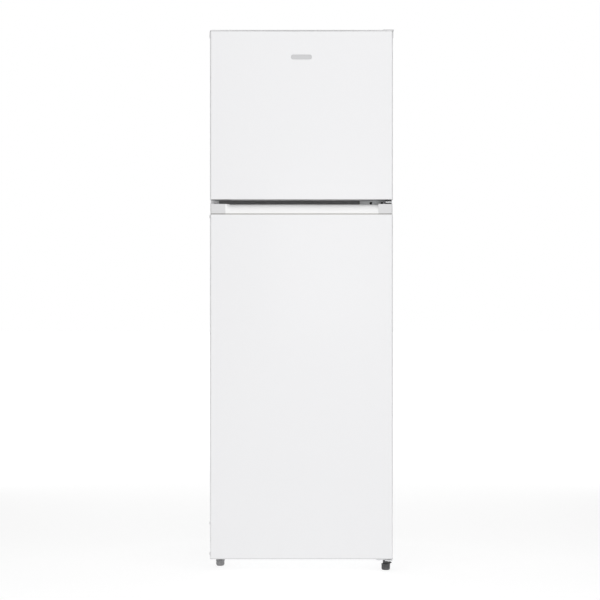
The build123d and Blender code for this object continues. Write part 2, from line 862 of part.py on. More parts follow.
def compressor_can():
    """The welded steel can."""
    base = compressor_base_z
    can = post(compressor_x, compressor_y, compressor_radius, base, base + compressor_height)
    can = fillet(can.edges().group_by(Axis.Z)[-1], compressor_top_round)
    can = fillet(can.edges().group_by(Axis.Z)[0], compressor_foot_round)
    seam = base + seam_level
    return can + post(compressor_x, compressor_y, compressor_radius + seam_rise, seam, seam + seam_height)


def grommet_places():
    """The four corners of the compressor's mounting plate."""
    reach_x = mount_half_length - grommet_inset_x
    reach_y = mount_half_width - grommet_inset_y
    return [(compressor_x + side * reach_x, compressor_y + end * reach_y)
            for side in (-1, 1) for end in (-1, 1)]


def make_compressor():
    """The compressor can on its mounting plate."""
    plate = block(compressor_x - mount_half_length, compressor_x + mount_half_length,
                  compressor_y - mount_half_width, compressor_y + mount_half_width,
                  mount_base, compressor_base_z)
    return plate + compressor_can()


def make_compressor_grommets():
    """The four rubber mounts under the compressor."""
    return group([post(x, y, grommet_radius, grommet_base, mount_base) for x, y in grommet_places()])


def make_relay_cover():
    """The plastic box on the compressor's side that covers its starting relay."""
    low = compressor_base_z + relay_low
    box = block(compressor_x - compressor_radius - relay_reach, compressor_x - compressor_radius / 2,
                compressor_y - relay_half, compressor_y + relay_half, low, low + relay_height)
    box = box - compressor_can()
    return box.solids().sort_by(Axis.X)[0]


def make_drip_tray():
    """The defrost water tray on top of the compressor."""
    base = compressor_base_z + compressor_height
    return open_box(compressor_x - drip_tray_half_length, compressor_x + drip_tray_half_length,
                    compressor_y - drip_tray_half_width, compressor_y + drip_tray_half_width,
                    base, base + drip_tray_height, drip_tray_wall)


def tube(points):
    """A bent tube through these points."""
    path = FilletPolyline(*points, radius=tube_bend)
    section = Plane(origin=path @ 0, z_dir=path % 0) * Circle(tube_radius)
    return sweep(section, path=path)


def make_refrigerant_tubes():
    """The suction and discharge lines between the compressor and the compartment roof."""
    right = compressor_x + compressor_radius - tube_inset
    outer = right + discharge_reach
    low = compressor_base_z + discharge_level
    high = low + discharge_rise
    front = compressor_y - discharge_offset
    discharge = tube([(right, compressor_y, low), (outer, compressor_y, low), (outer, compressor_y, high),
                      (outer, front, high), (outer, front, compartment_top)])
    left = compressor_x - compressor_radius + tube_inset
    outer = left - suction_reach
    level = compressor_base_z + suction_level
    rear = compressor_y + suction_offset
    suction = tube([(left, compressor_y, level), (outer, compressor_y, level), (outer, rear, level),
                    (outer, rear, compartment_top)])
    can = compressor_can()
    return group([discharge - can, suction - can])


def make_compressor_cover():
    """The louvred rear cover of the compressor compartment."""
    front = cabinet_back_y - pan_sheet
    cover = wide_block(half_inside, front, cabinet_back_y, floor_gap, compartment_top)
    room = compartment_height - louvre_foot - louvre_top_margin - louvre_height
    for row in range(int(room // louvre_pitch) + 1):
        z = floor_gap + louvre_foot + row * louvre_pitch
        for column in (-1, 0, 1):
            x = column * louvre_column_pitch
            cover = cover - block(x - louvre_width / 2, x + louvre_width / 2, front - cut,
                                  cabinet_back_y + cut, z, z + louvre_height)
    inlet_hole = rod_y(inlet_x, inlet_z, inlet_radius, front - cut, cabinet_back_y + cut)
    return cover - screw_shanks() - inlet_hole


def make_cord_inlet():
    """The rubber gland where the mains lead goes in."""
    inner = cabinet_back_y - inlet_inner_length
    outer = cabinet_back_y + inlet_outer_length
    body = rod_y(inlet_x, inlet_z, inlet_radius, inner, outer)
    rim = rod_y(inlet_x, inlet_z, inlet_radius + inlet_rim, cabinet_back_y,
                cabinet_back_y + inlet_rim_thickness)
    return body + rim - rod_y(inlet_x, inlet_z, inlet_bore, inner - cut, outer + cut)


# ---- cooling inside the freezer ----

def make_evaporator():
    """The finned coil behind the freezer's rear cover."""
    y_tube = (evaporator_front_y + freezer_back_y) / 2
    row_pitch = (evaporator_high - evaporator_low) / evaporator_rows
    fin_pitch = 2 * evaporator_half / (evaporator_fins - 1)
    pieces = []
    for index in range(evaporator_fins):
        x = -evaporator_half + index * fin_pitch
        pieces.append(block(x - fin_thickness / 2, x + fin_thickness / 2, evaporator_front_y,
                            freezer_back_y, evaporator_low, evaporator_high))
    run_half = evaporator_half + evaporator_tube_overrun
    for row in range(evaporator_rows):
        z = evaporator_low + (row + 0.5) * row_pitch
        pieces.append(rod_x(y_tube, z, evaporator_tube, -run_half, run_half))
        if row:
            side = 1 if row % 2 == 0 else -1
            x = side * (run_half - evaporator_tube)
            pieces.append(post(x, y_tube, evaporator_bend_radius, z - row_pitch, z))
    return joined(pieces)


def make_evaporator_cover():
    """The freezer's rear panel with its fan grille and return slots."""
    y0 = evaporator_cover_y
    y1 = y0 + evaporator_cover_sheet
    panel = wide_block(half_freezer, y0, y1, freezer_floor, freezer_ceiling)
    rows = int(fan_radius // grille_pitch)
    for row in range(-rows, rows + 1):
        z = fan_z + row * grille_pitch
        half = math.sqrt(fan_radius ** 2 - (row * grille_pitch) ** 2)
        panel = panel - wide_block(half, y0 - cut, y1 + cut, z - grille_slot / 2, z + grille_slot / 2)
    low = freezer_floor + return_slot_low
    columns = int((half_freezer - return_slot_margin) // return_slot_pitch)
    for column in range(-columns, columns + 1):
        x = column * return_slot_pitch
        panel = panel - block(x - return_slot_width / 2, x + return_slot_width / 2, y0 - cut, y1 + cut,
                              low, low + return_slot_height)
    return panel


def make_fan_motor():
    """The fan motor on the freezer's rear wall, with its shaft."""
    motor_front = fan_front_y + fan_depth + fan_motor_gap
    body = rod_y(0, fan_z, fan_motor_radius, motor_front, freezer_back_y)
    return body + rod_y(0, fan_z, fan_shaft_radius, fan_front_y, motor_front + cut)


def make_fan_impeller():
    """The fan wheel: a hub and its pitched blades."""
    wheel = rod_y(0, fan_z, fan_hub_radius, fan_front_y, fan_front_y + fan_depth)
    blade = Box(fan_blade_length, fan_blade_thickness, fan_blade_chord)
    blade = Pos(fan_radius - fan_blade_length / 2 - cut, 0, 0) * Rot(fan_blade_pitch, 0, 0) * blade
    for index in range(fan_blades):
        turned = Rot(0, index * 360 / fan_blades, 0) * blade
        wheel = wheel + Pos(0, fan_front_y + fan_depth / 2, fan_z) * turned
    return wheel - rod_y(0, fan_z, fan_shaft_radius + fit, fan_front_y - cut, fan_front_y + fan_depth + cut)


def make_freezer_shelf():
    """The slotted freezer shelf."""
    y0 = cabinet_front_y + freezer_shelf_setback
    y1 = evaporator_cover_y - freezer_shelf_rear_gap
    shelf = wide_block(half_freezer - freezer_shelf_side_gap, y0, y1, freezer_shelf_level, freezer_shelf_top)
    nose_half = half_freezer - shelf_ledge - freezer_shelf_side_gap
    shelf = shelf + wide_block(nose_half, y0, y0 + freezer_shelf_nose,
                               freezer_shelf_level - freezer_shelf_nose, freezer_shelf_top)
    slots = int((half_freezer - freezer_slot_margin) // freezer_slot_pitch)
    for index in range(-slots, slots + 1):
        x = index * freezer_slot_pitch
        shelf = shelf - block(x - freezer_slot_width / 2, x + freezer_slot_width / 2,
                              y0 + freezer_slot_front, y1 - freezer_slot_rear,
                              freezer_shelf_level - cut, freezer_shelf_top + cut)
    return shelf


# ---- ice maker ----

def make_ice_tray_frame():
    """The open frame on the left wall that holds the twisting ice tray."""
    half = ice_frame_inner_half + ice_frame_wall
    z0 = ice_axis_z - ice_frame_below_axis
    z1 = ice_axis_z + ice_frame_above_axis
    ring = block(ice_x - half, ice_x + half, ice_front_y, ice_back_y, z0, z1)
    ring = ring - block(ice_x - ice_frame_inner_half, ice_x + ice_frame_inner_half,
                        ice_front_y + ice_frame_wall, ice_back_y - ice_frame_wall, z0 - cut, z1 + cut)
    return ring - rod_y(ice_x, ice_axis_z, tray_axle_radius + fit, ice_front_y - cut, ice_back_y + cut)


def make_ice_tray():
    """The twisting ice tray with its two axles and its turning tab."""
    x0 = ice_x - tray_half
    y0 = ice_front_y + (ice_frame_length - tray_length) / 2
    y1 = y0 + tray_length
    z0 = ice_axis_z - tray_below_axis
    z1 = z0 + tray_height
    tray = block(x0, ice_x + tray_half, y0, y1, z0, z1)
    cell_x = (2 * tray_half - (tray_columns + 1) * tray_wall) / tray_columns
    cell_y = (tray_length - (tray_rows + 1) * tray_wall) / tray_rows
    for column in range(tray_columns):
        for row in range(tray_rows):
            x = x0 + tray_wall + column * (cell_x + tray_wall)
            y = y0 + tray_wall + row * (cell_y + tray_wall)
            tray = tray - block(x, x + cell_x, y, y + cell_y, z0 + tray_floor, z1 + cut)
    tray = tray - block(x0 + tray_wall, ice_x + tray_half - tray_wall, y0 + tray_wall, y1 - tray_wall,
                        z1 - tray_brim, z1 + cut)
    tab_back = ice_front_y - tray_tab_gap
    tab_front = tab_back - tray_tab_depth
    tray = tray + rod_y(ice_x, ice_axis_z, tray_axle_radius, tab_back - cut, y0 + cut)
    tray = tray + rod_y(ice_x, ice_axis_z, tray_axle_radius, y1 - cut, ice_back_y)
    return tray + block(ice_x - tray_tab_half, ice_x + tray_tab_half, tab_front, tab_back,
                        ice_axis_z - tray_tab_height / 2, ice_axis_z + tray_tab_height / 2)


def make_ice_bin():
    """The pull-out ice bin under the ice tray, on the freezer shelf."""
    z0 = freezer_shelf_top + slide_gap
    z1 = z0 + ice_bin_height
    half = ice_frame_inner_half - ice_bin_side_gap
    box = open_box(ice_x - half, ice_x + half, ice_front_y, ice_back_y, z0, z1, ice_bin_wall)
    pull = block(ice_x - ice_bin_pull_half, ice_x + ice_bin_pull_half, ice_front_y - ice_bin_pull_depth,
                 ice_front_y, z1 - ice_bin_pull_height, z1)
    return box + pull


# ---- fridge compartment ----

def make_air_duct():
    """The cold air panel on the fridge's rear wall."""
    y0 = fridge_back_y - duct_depth
    duct = wide_block(duct_half, y0, fridge_back_y, step_top + duct_foot_gap, fridge_ceiling)
    for level in shelf_levels:
        for offset in duct_slot_offsets:
            low = level + offset
            duct = duct - wide_block(duct_half - duct_slot_margin, y0 - cut, y0 + duct_slot_depth,
                                     low, low + duct_slot_height)
    return duct


def make_control_box():
    """The thermostat housing on the fridge's ceiling."""
    box = wide_block(control_half, control_front_y, control_front_y + control_depth,
                     fridge_ceiling - control_height, fridge_ceiling)
    edge = box.edges().filter_by(Axis.X).group_by(Axis.Z)[0].sort_by(Axis.Y)[0]
    box = fillet(edge, control_edge_radius)
    return box - rod_y(knob_x, control_z, knob_shaft_radius + fit, control_front_y - cut,
                       control_front_y + knob_shaft_length + cut)


def make_thermostat_knob():
    """The temperature knob with its grip bar and its short shaft."""
    disc_front = control_front_y - knob_disc
    disc = rod_y(knob_x, control_z, knob_radius, disc_front, control_front_y - slide_gap)
    bar_half_length = knob_radius - knob_bar_inset
    bar = block(knob_x - knob_bar_half, knob_x + knob_bar_half, control_front_y - knob_depth, disc_front,
                control_z - bar_half_length, control_z + bar_half_length)
    shaft = rod_y(knob_x, control_z, knob_shaft_radius, control_front_y - cut,
                  control_front_y + knob_shaft_length)
    return disc + bar + shaft


def make_lamp_cover():
    """The clear lens of the ceiling lamp, behind the control box."""
    y0 = control_front_y + control_depth
    y1 = y0 + lamp_depth
    lens = wide_block(lamp_half, y0, y1, fridge_ceiling - lamp_height, fridge_ceiling)
    lens = fillet(lens.edges().filter_by(Axis.X).group_by(Axis.Z)[0], lamp_round)
    return lens - wide_block(lamp_half - lamp_wall, y0 + lamp_wall, y1 - lamp_wall,
                             fridge_ceiling - lamp_height + lamp_lens, fridge_ceiling + cut)


def shelf_glass(level):
    """One glass shelf plate."""
    return wide_block(half_fridge - shelf_side_gap, shelf_front_y + glass_groove,
                      shelf_rear_y - glass_groove, level, level + glass_thickness)


def shelf_trim(level, y0, y1):
    """One plastic edge of a shelf, grooved for the glass."""
    low = level - shelf_trim_drop
    trim = wide_block(half_fridge - shelf_ledge - shelf_trim_gap, y0, y1, low, low + shelf_trim_height)
    return trim - shelf_glass(level)


def make_glass_shelves():
    """The glass shelves; the lowest one covers the vegetable drawer."""
    return group([shelf_glass(level) for level in shelf_levels])


def make_shelf_trims():
    """The front and rear edge trims of the shelves."""
    trims = []
    for level in shelf_levels:
        trims.append(shelf_trim(level, shelf_front_y, shelf_front_y + shelf_trim_depth))
        trims.append(shelf_trim(level, shelf_rear_y - shelf_rear_trim_depth, shelf_rear_y))
    return group(trims)


def make_crisper_drawer():
    """The vegetable drawer on the fridge floor, with a grip along its front."""
    half = half_fridge - drawer_side_gap
    y0 = cabinet_front_y + drawer_front_setback
    y1 = step_y - drawer_rear_gap
    z0 = fridge_floor + slide_gap
    box = open_box(-half, half, y0, y1, z0, z0 + drawer_height, drawer_wall)
    grip_top = z0 + drawer_height - drawer_grip_drop
    grip = wide_block(drawer_grip_half, y0 - drawer_grip_depth, y0, grip_top - drawer_grip_height, grip_top)
    return box + grip


def make_lamp_switch_plunger():
    """The plunger that the closed fridge door presses in."""
    tip = door_back_y + dyke_height + slide_gap
    bore_end = switch_face_y + switch_boss_depth - switch_boss_end
    return rod_y(switch_x, switch_z, switch_radius, tip, bore_end - slide_gap)


# ---- doors ----

def door_section(half, y0, z0, z1, radius):
    """A door's outer or inner section with its rounded front edges."""
    body = wide_block(half, y0, door_back_y - liner_wall, z0, z1)
    front = body.edges().filter_by(Axis.Z).group_by(Axis.Y)[0]
    return fillet(front, radius)


def make_door_skin(z0, z1):
    """The steel front sheet, wrapped round both door sides."""
    outer = door_section(half_door, door_front_y, z0, z1, door_edge_radius)
    inner = door_section(half_door - steel, door_front_y + steel, z0 - cut, z1 + cut,
                         door_edge_radius - steel)
    return outer - inner


def liner_relief(half, z0, z1, pocket_half, grow):
    """The raised dyke of a door liner, less its pocket; grow thins it to the foam's size."""
    y0 = door_back_y - liner_wall
    dyke = wide_block(half - grow, y0, door_back_y + dyke_height - grow, z0 + grow, z1 - grow)
    pocket = wide_block(pocket_half + grow, door_back_y - pocket_depth - grow,
                        door_back_y + dyke_height + cut, z0 + dyke_width - grow, z1 - dyke_width + grow)
    return dyke, pocket


def make_door_liner(half, z0, z1, door_z0, door_z1):
    """The moulded inside of a door: a flat rim, a raised dyke and the pocket for the bins."""
    pocket_half = half - dyke_width
    dyke, pocket = liner_relief(half, z0, z1, pocket_half, 0)
    core_dyke, core_pocket = liner_relief(half, z0, z1, pocket_half, liner_wall)
    back = wide_block(half_door, door_back_y - pocket_depth - liner_wall, door_back_y, door_z0, door_z1)
    core = wide_block(half_door + cut, door_back_y - pocket_depth - liner_wall - cut,
                      door_back_y - liner_wall, door_z0 - cut, door_z1 + cut)
    outside = back + dyke - pocket
    inside = core + core_dyke - core_pocket
    return outside - inside


def make_door_foam(half, z0, z1, skin_z0, skin_z1, cap_low, cap_high):
    """The foam between a door's skin, caps and liner."""
    core_dyke, core_pocket = liner_relief(half, z0, z1, half - dyke_width, liner_wall)
    core = door_section(half_door - steel, door_front_y + steel, cap_low, cap_high, door_edge_radius - steel)
    return core + core_dyke - core_pocket


def make_gasket(z0, z1):
    """The magnetic door seal, with the groove of its bellows along its inner side."""
    outer = half_door - gasket_inset
    y1 = cabinet_front_y - slide_gap
    ring = wide_block(outer, door_back_y, y1, z0, z1)
    ring = ring - wide_block(outer - gasket_width, door_back_y - cut, y1 + cut,
                             z0 + gasket_width, z1 - gasket_width)
    near = gasket_groove_inset
    far = near + gasket_groove_width
    groove_y0 = door_back_y + gasket_groove_setback
    groove_y1 = groove_y0 + gasket_groove_depth
    groove = wide_block(outer - near, groove_y0, groove_y1, z0 + near, z1 - near)
    groove = groove - wide_block(outer - far, groove_y0 - cut, groove_y1 + cut, z0 + far, z1 - far)
    return ring - groove


def cap_block(z0, z1, low_lip, high_lip):
    """A door end cap: it fills the skin, and its lip shows beyond the skin's edge."""
    plug_z0 = z0 + low_lip
    plug_z1 = z1 - high_lip
    plug = door_section(half_door - steel, door_front_y + steel, plug_z0, plug_z1, door_edge_radius - steel)
    if low_lip:
        plug = plug + door_section(half_door, door_front_y, z0, plug_z0, door_edge_radius)
    if high_lip:
        plug = plug + door_section(half_door, door_front_y, plug_z1, z1, door_edge_radius)
    return plug


def make_freezer_top_cap():
    """The freezer door's top cap, slightly hollow along its top, with the pin's bore."""
    top = freezer_door_top
    cap = cap_block(top - top_cap_thickness, top, 0, top_cap_lip)
    dip_radius = (half_door ** 2 + top_cap_dip ** 2) / (2 * top_cap_dip)
    cap = cap - rod_y(0, top - top_cap_dip + dip_radius, dip_radius, door_front_y - cut, door_back_y + cut)
    return cap - post(pin_x, pin_y, pin_radius + fit, top - pin_reach - cut, top + cut)


def make_freezer_bottom_cap():
    """The freezer door's bottom cap, with the grip groove in its underside and the pin's bore."""
    z0 = freezer_door_bottom
    cap = cap_block(z0, z0 + bottom_cap_thickness, freezer_bottom_lip, 0)
    groove_y0 = door_front_y + groove_setback
    groove = block(-half_door + groove_left_margin, half_door - groove_right_margin,
                   groove_y0, groove_y0 + groove_width, z0 - cut, z0 + groove_height)
    groove = fillet(groove.edges().filter_by(Axis.Z), groove_round)
    return cap - groove - post(pin_x, pin_y, pin_radius + fit, z0 - cut, z0 + pin_reach + cut)


def make_grip_cap():
    """The fridge door's top cap, which leans back between its end blocks, with the pin's bore."""
    top = fridge_door_top
    front = door_front_y + cap_inset
    cap = door_section(half_door - cap_inset, front, grip_bottom, top, door_edge_radius - cap_inset)
    left = -half_door + grip_left_margin
    right = half_door - grip_right_margin
    rise = grip_height - grip_foot
    bend = (grip_depth ** 2 + rise ** 2) / (2 * grip_depth)
    corner = block(left, right, front - cut, front + grip_depth, top - rise, top + cut)
    corner = corner - rod_x(front + bend, top - rise, bend, left - cut, right + cut)
    return cap - corner - post(pin_x, pin_y, pin_radius + fit, top - pin_reach - cut, top + cut)


def make_fridge_bottom_cap():
    """The fridge door's bottom cap, with the lower pin's bore."""
    cap = cap_block(floor_gap, floor_gap + bottom_cap_thickness, fridge_bottom_lip, 0)
    return cap - post(pin_x, pin_y, pin_radius + fit, floor_gap - cut, floor_gap + pin_reach + cut)


def door_bin(half, z0, depth, height):
    """One door bin, standing on the liner's lugs against the pocket's floor."""
    y0 = door_back_y - pocket_depth
    return open_box(-half + bin_side_gap, half - bin_side_gap, y0, y0 + depth, z0, z0 + height, bin_wall)


def panelled_bin(half, z0, depth, height):
    """A door bin as its flat panels, which meet: the floor, the front, the back and the two ends."""
    whole = door_bin(half, z0, depth, height)
    across = half - bin_side_gap
    y0 = door_back_y - pocket_depth
    floor = z0 + bin_wall
    top = z0 + height
    inside = (y0 + bin_wall, y0 + depth - bin_wall)
    zones = [wide_block(across, y0, y0 + depth, z0, floor),
             wide_block(across, y0, inside[0], floor, top),
             wide_block(across, inside[1], y0 + depth, floor, top),
             block(-across, -across + bin_wall, *inside, floor, top),
             block(across - bin_wall, across, *inside, floor, top)]
    return [panel for zone in zones for panel in (whole & zone).solids()]


def bin_lugs(half, z0):
    """The pair of lugs on the pocket's sides under one bin."""
    y0 = door_back_y - pocket_depth
    lugs = []
    for side in (-1, 1):
        edges = sorted((side * half, side * (half - bin_lug)))
        lugs.append(block(edges[0], edges[1], y0, y0 + bin_lug_length, z0 - bin_lug_height, z0))
    return joined(lugs)


def make_badge():
    """A plain blank badge on the freezer door."""
    z = freezer_door_top - badge_below_top
    bar = wide_block(badge_width / 2, door_front_y - badge_rise, door_front_y,
                     z - badge_height / 2, z + badge_height / 2)
    return fillet(bar.edges().filter_by(Axis.Y), badge_height / 2 - badge_rise)


def make_door_edge_plugs():
    """The low plugs on the fridge door's left edge."""
    plugs = []
    for z in [floor_gap + level for level in edge_plug_levels] + [grip_bottom - edge_plug_below_grip]:
        plug = rod_x(door_front_y + edge_plug_setback, z, edge_plug_radius,
                     -half_door - edge_plug_rise, -half_door)
        plugs.append(chamfer(plug.edges().group_by(Axis.X)[0], edge_plug_chamfer))
    return group(plugs)


# ---- feet and rollers ----

def foot_knob(x, y, taper):
    """The ribbed turning knob of a foot, a little narrower at the floor."""
    knob = Pos(x, y, foot_height / 2) * Cone(foot_radius - taper, foot_radius, foot_height)
    knob = fillet(knob.edges().group_by(Axis.Z)[0], foot_round)
    reach = foot_radius + foot_notch_offset
    for index in range(foot_ribs):
        angle = math.radians(index * 360 / foot_ribs)
        knob = knob - post(x + reach * math.cos(angle), y + reach * math.sin(angle), foot_notch_radius,
                           foot_notch_end, foot_height - foot_notch_end)
    return knob


def make_left_foot():
    """The left front levelling foot."""
    stem = post(left_foot_x, left_foot_y, stem_radius, foot_height - cut, floor_gap - slide_gap)
    return foot_knob(left_foot_x, left_foot_y, left_foot_taper) + stem


def make_right_foot():
    """The right front levelling foot, with its thick ribbed neck under the hinge bracket."""
    neck = post(right_foot_x, right_foot_y, neck_radius, foot_height - cut, low_arm_bottom - slide_gap)
    for index in range(neck_ribs):
        angle = math.radians(index * 360 / neck_ribs)
        neck = neck - post(right_foot_x + neck_radius * math.cos(angle),
                           right_foot_y + neck_radius * math.sin(angle),
                           foot_notch_radius, foot_height, low_arm_bottom)
    stem = post(right_foot_x, right_foot_y, stem_radius, foot_height, low_arm_top + right_stem_end)
    return foot_knob(right_foot_x, right_foot_y, right_foot_taper) + neck + stem


def make_roller(x):
    """A rear roller on its axle."""
    half = roller_width / 2
    wheel = rod_x(roller_y, roller_radius, roller_radius, x - half, x + half)
    wheel = chamfer(wheel.edges(), roller_chamfer)
    return wheel + rod_x(roller_y, roller_radius, roller_axle_radius, x - half - roller_axle_end,
                         x + half + roller_axle_end)


# ---- build and save ----
os.makedirs("parts", exist_ok=True)

save(make_cabinet_shell(), "cabinet_shell")
save(make_back_panel(), "back_panel")
save(make_base_pan(), "base_pan")
save(make_compressor_base(), "compressor_base")
save(make_cabinet_foam(), "cabinet_foam")
save(make_freezer_liner(), "freezer_liner")
save(make_fridge_liner(), "fridge_liner")
save(make_mullion_trim(), "mullion_trim")
save(make_top_cover(), "top_cover")
save(make_hinge_cover(), "hinge_cover")
save(make_top_hinge(), "top_hinge")
save(make_middle_hinge(), "middle_hinge")
save(make_bottom_hinge(), "bottom_hinge")
save(make_hinge_washers(), "hinge_washers")
save(make_panel_screws(), "panel_screws")
save(make_hinge_hole_plug(), "hinge_hole_plug")
save(make_compressor(), "compressor")
save(make_compressor_grommets(), "compressor_grommets")
save(make_relay_cover(), "relay_cover")
save(make_drip_tray(), "drip_tray")
save(make_refrigerant_tubes(), "refrigerant_tubes")
save(make_compressor_cover(), "compressor_cover")
save(make_cord_inlet(), "cord_inlet")
save(make_evaporator(), "evaporator")
save(make_evaporator_cover(), "evaporator_cover")
save(make_fan_motor(), "fan_motor")
save(make_fan_impeller(), "fan_impeller")
save(make_freezer_shelf(), "freezer_shelf")
save(make_ice_tray_frame(), "ice_tray_frame")
save(make_ice_tray(), "ice_tray")
save(make_ice_bin(), "ice_bin")
save(make_air_duct(), "air_duct")
save(make_control_box(), "control_box")
save(make_thermostat_knob(), "thermostat_knob")
save(make_lamp_cover(), "lamp_cover")
save(make_lamp_switch_plunger(), "lamp_switch_plunger")
save(make_glass_shelves(), "glass_shelves")
save(make_shelf_trims(), "shelf_trims")
save(make_crisper_drawer(), "crisper_drawer")

# Freezer door: its liner's dyke stands inside the freezer compartment with a clearance all round.
freezer_dyke = (half_freezer - dyke_clearance, freezer_floor + dyke_end_clearance,
                freezer_ceiling - dyke_end_clearance)
freezer_pocket = freezer_dyke[0] - dyke_width
freezer_bin_base = freezer_dyke[1] + dyke_width + freezer_bin_rise
freezer_bin_levels = (freezer_bin_base, freezer_bin_base + freezer_bin_pitch)
freezer_skin_low = freezer_door_bottom + freezer_bottom_lip
freezer_skin_high = freezer_door_top - top_cap_lip
save(make_door_skin(freezer_skin_low, freezer_skin_high), "freezer_door_skin")
freezer_lining = make_door_liner(*freezer_dyke, freezer_door_bottom, freezer_door_top - top_cap_lip)
for bin_level in freezer_bin_levels:
    freezer_lining = freezer_lining + bin_lugs(freezer_pocket, bin_level)
save(freezer_lining, "freezer_door_liner")
save(make_door_foam(*freezer_dyke, freezer_skin_low, freezer_skin_high,
                    freezer_door_bottom + bottom_cap_thickness, freezer_door_top - top_cap_thickness),
     "freezer_door_foam")
save(make_gasket(freezer_floor - gasket_width, freezer_ceiling + gasket_roof_overlap),
     "freezer_door_gasket")
save(make_freezer_top_cap(), "freezer_door_top_cap")
save(make_freezer_bottom_cap(), "freezer_door_bottom_cap")
save(group([panel for z in freezer_bin_levels
            for panel in panelled_bin(freezer_pocket, z, freezer_bin_depth, bin_height)]),
     "freezer_door_bins")
save(make_badge(), "badge")

# Fridge door.
fridge_dyke = (half_fridge - dyke_clearance, fridge_floor + dyke_end_clearance,
               fridge_ceiling - dyke_end_clearance)
fridge_pocket = fridge_dyke[0] - dyke_width
bottle_bin_level = fridge_dyke[1] + dyke_width + bottle_bin_rise
fridge_bin_levels = [fridge_ceiling - fridge_bin_headroom - index * fridge_bin_pitch
                     for index in range(fridge_bin_count)]
fridge_skin_low = floor_gap + fridge_bottom_lip
save(make_door_skin(fridge_skin_low, grip_bottom), "fridge_door_skin")
fridge_lining = make_door_liner(*fridge_dyke, floor_gap, fridge_door_top)
for bin_level in [bottle_bin_level] + fridge_bin_levels:
    fridge_lining = fridge_lining + bin_lugs(fridge_pocket, bin_level)
save(fridge_lining, "fridge_door_liner")
save(make_door_foam(*fridge_dyke, fridge_skin_low, grip_bottom,
                    floor_gap + bottom_cap_thickness, grip_bottom), "fridge_door_foam")
save(make_gasket(fridge_floor - gasket_foot_overlap, fridge_ceiling + gasket_width), "fridge_door_gasket")
save(make_grip_cap(), "fridge_door_top_cap")
save(make_fridge_bottom_cap(), "fridge_door_bottom_cap")
save(group([door_bin(fridge_pocket, z, bin_depth, bin_height) for z in fridge_bin_levels]),
     "fridge_door_bins")
save(door_bin(fridge_pocket, bottle_bin_level, bin_depth, bottle_bin_height), "bottle_bin")
save(make_door_edge_plugs(), "door_edge_plugs")

save(make_left_foot(), "left_foot")
save(make_right_foot(), "right_foot")
save(make_roller(-roller_x), "left_roller")
save(make_roller(roller_x), "right_roller")
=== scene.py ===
"""A two-door top-freezer refrigerator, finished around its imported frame.

Lengths in the class fields are millimetres, and every mesh is written in metres in the frame's own axes:
+Z up, the doors facing -Y, the hinges at +X. Places come from the frame's nodes.
"""

import json
import logging
import math
from dataclasses import dataclass, field
from enum import Enum
from typing import Dict, List, Optional, Sequence, Tuple

import bmesh
import bpy
from mathutils import Matrix, Vector

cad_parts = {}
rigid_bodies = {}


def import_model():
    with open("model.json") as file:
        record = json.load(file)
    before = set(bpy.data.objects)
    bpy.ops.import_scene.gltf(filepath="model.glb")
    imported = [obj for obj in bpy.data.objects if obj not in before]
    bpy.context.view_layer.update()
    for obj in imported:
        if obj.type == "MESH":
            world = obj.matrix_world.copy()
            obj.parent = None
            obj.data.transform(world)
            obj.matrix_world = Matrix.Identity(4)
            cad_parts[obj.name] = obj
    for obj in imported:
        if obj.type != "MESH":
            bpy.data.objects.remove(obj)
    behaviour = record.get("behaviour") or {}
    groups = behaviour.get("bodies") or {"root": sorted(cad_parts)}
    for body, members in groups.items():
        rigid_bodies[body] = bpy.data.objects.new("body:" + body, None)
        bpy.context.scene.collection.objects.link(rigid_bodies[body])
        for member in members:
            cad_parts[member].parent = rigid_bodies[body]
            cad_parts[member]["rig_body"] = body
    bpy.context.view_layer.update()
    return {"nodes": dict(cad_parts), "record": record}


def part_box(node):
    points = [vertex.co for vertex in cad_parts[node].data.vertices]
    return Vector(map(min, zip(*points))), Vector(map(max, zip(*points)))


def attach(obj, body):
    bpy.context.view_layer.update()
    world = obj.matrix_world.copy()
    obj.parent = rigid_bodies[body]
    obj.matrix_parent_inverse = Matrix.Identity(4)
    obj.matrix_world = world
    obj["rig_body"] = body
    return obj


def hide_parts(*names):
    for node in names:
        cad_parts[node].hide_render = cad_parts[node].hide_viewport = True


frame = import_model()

MM = 0.001
FULL_TURN = 2 * math.pi
SHARP_ANGLE = 32.0
FLAT_ANGLE = 0.4
SAME_POINT = 0.002

Point = Tuple[float, float, float]
Colour = Tuple[float, float, float]
Outline = Sequence[Tuple[float, float]]

log = logging.getLogger("refrigerator")


class Body(str, Enum):
    """The frame's bodies that pieces ride on."""

    CABINET = "cabinet"
    FREEZER_DOOR = "freezer_door"
    FRIDGE_DOOR = "fridge_door"
    CRISPER = "crisper"
    ICE_BOX = "ice_box"
    ICE_TRAY = "ice_tray"
    FAN = "fan"
    KNOB = "knob"
    LAMP_PLUNGER = "lamp_plunger"
    LEFT_FOOT = "left_foot"
    RIGHT_FOOT = "right_foot"
    LEFT_ROLLER = "left_roller"
    RIGHT_ROLLER = "right_roller"


# ---------------------------------------------------------------- finishes


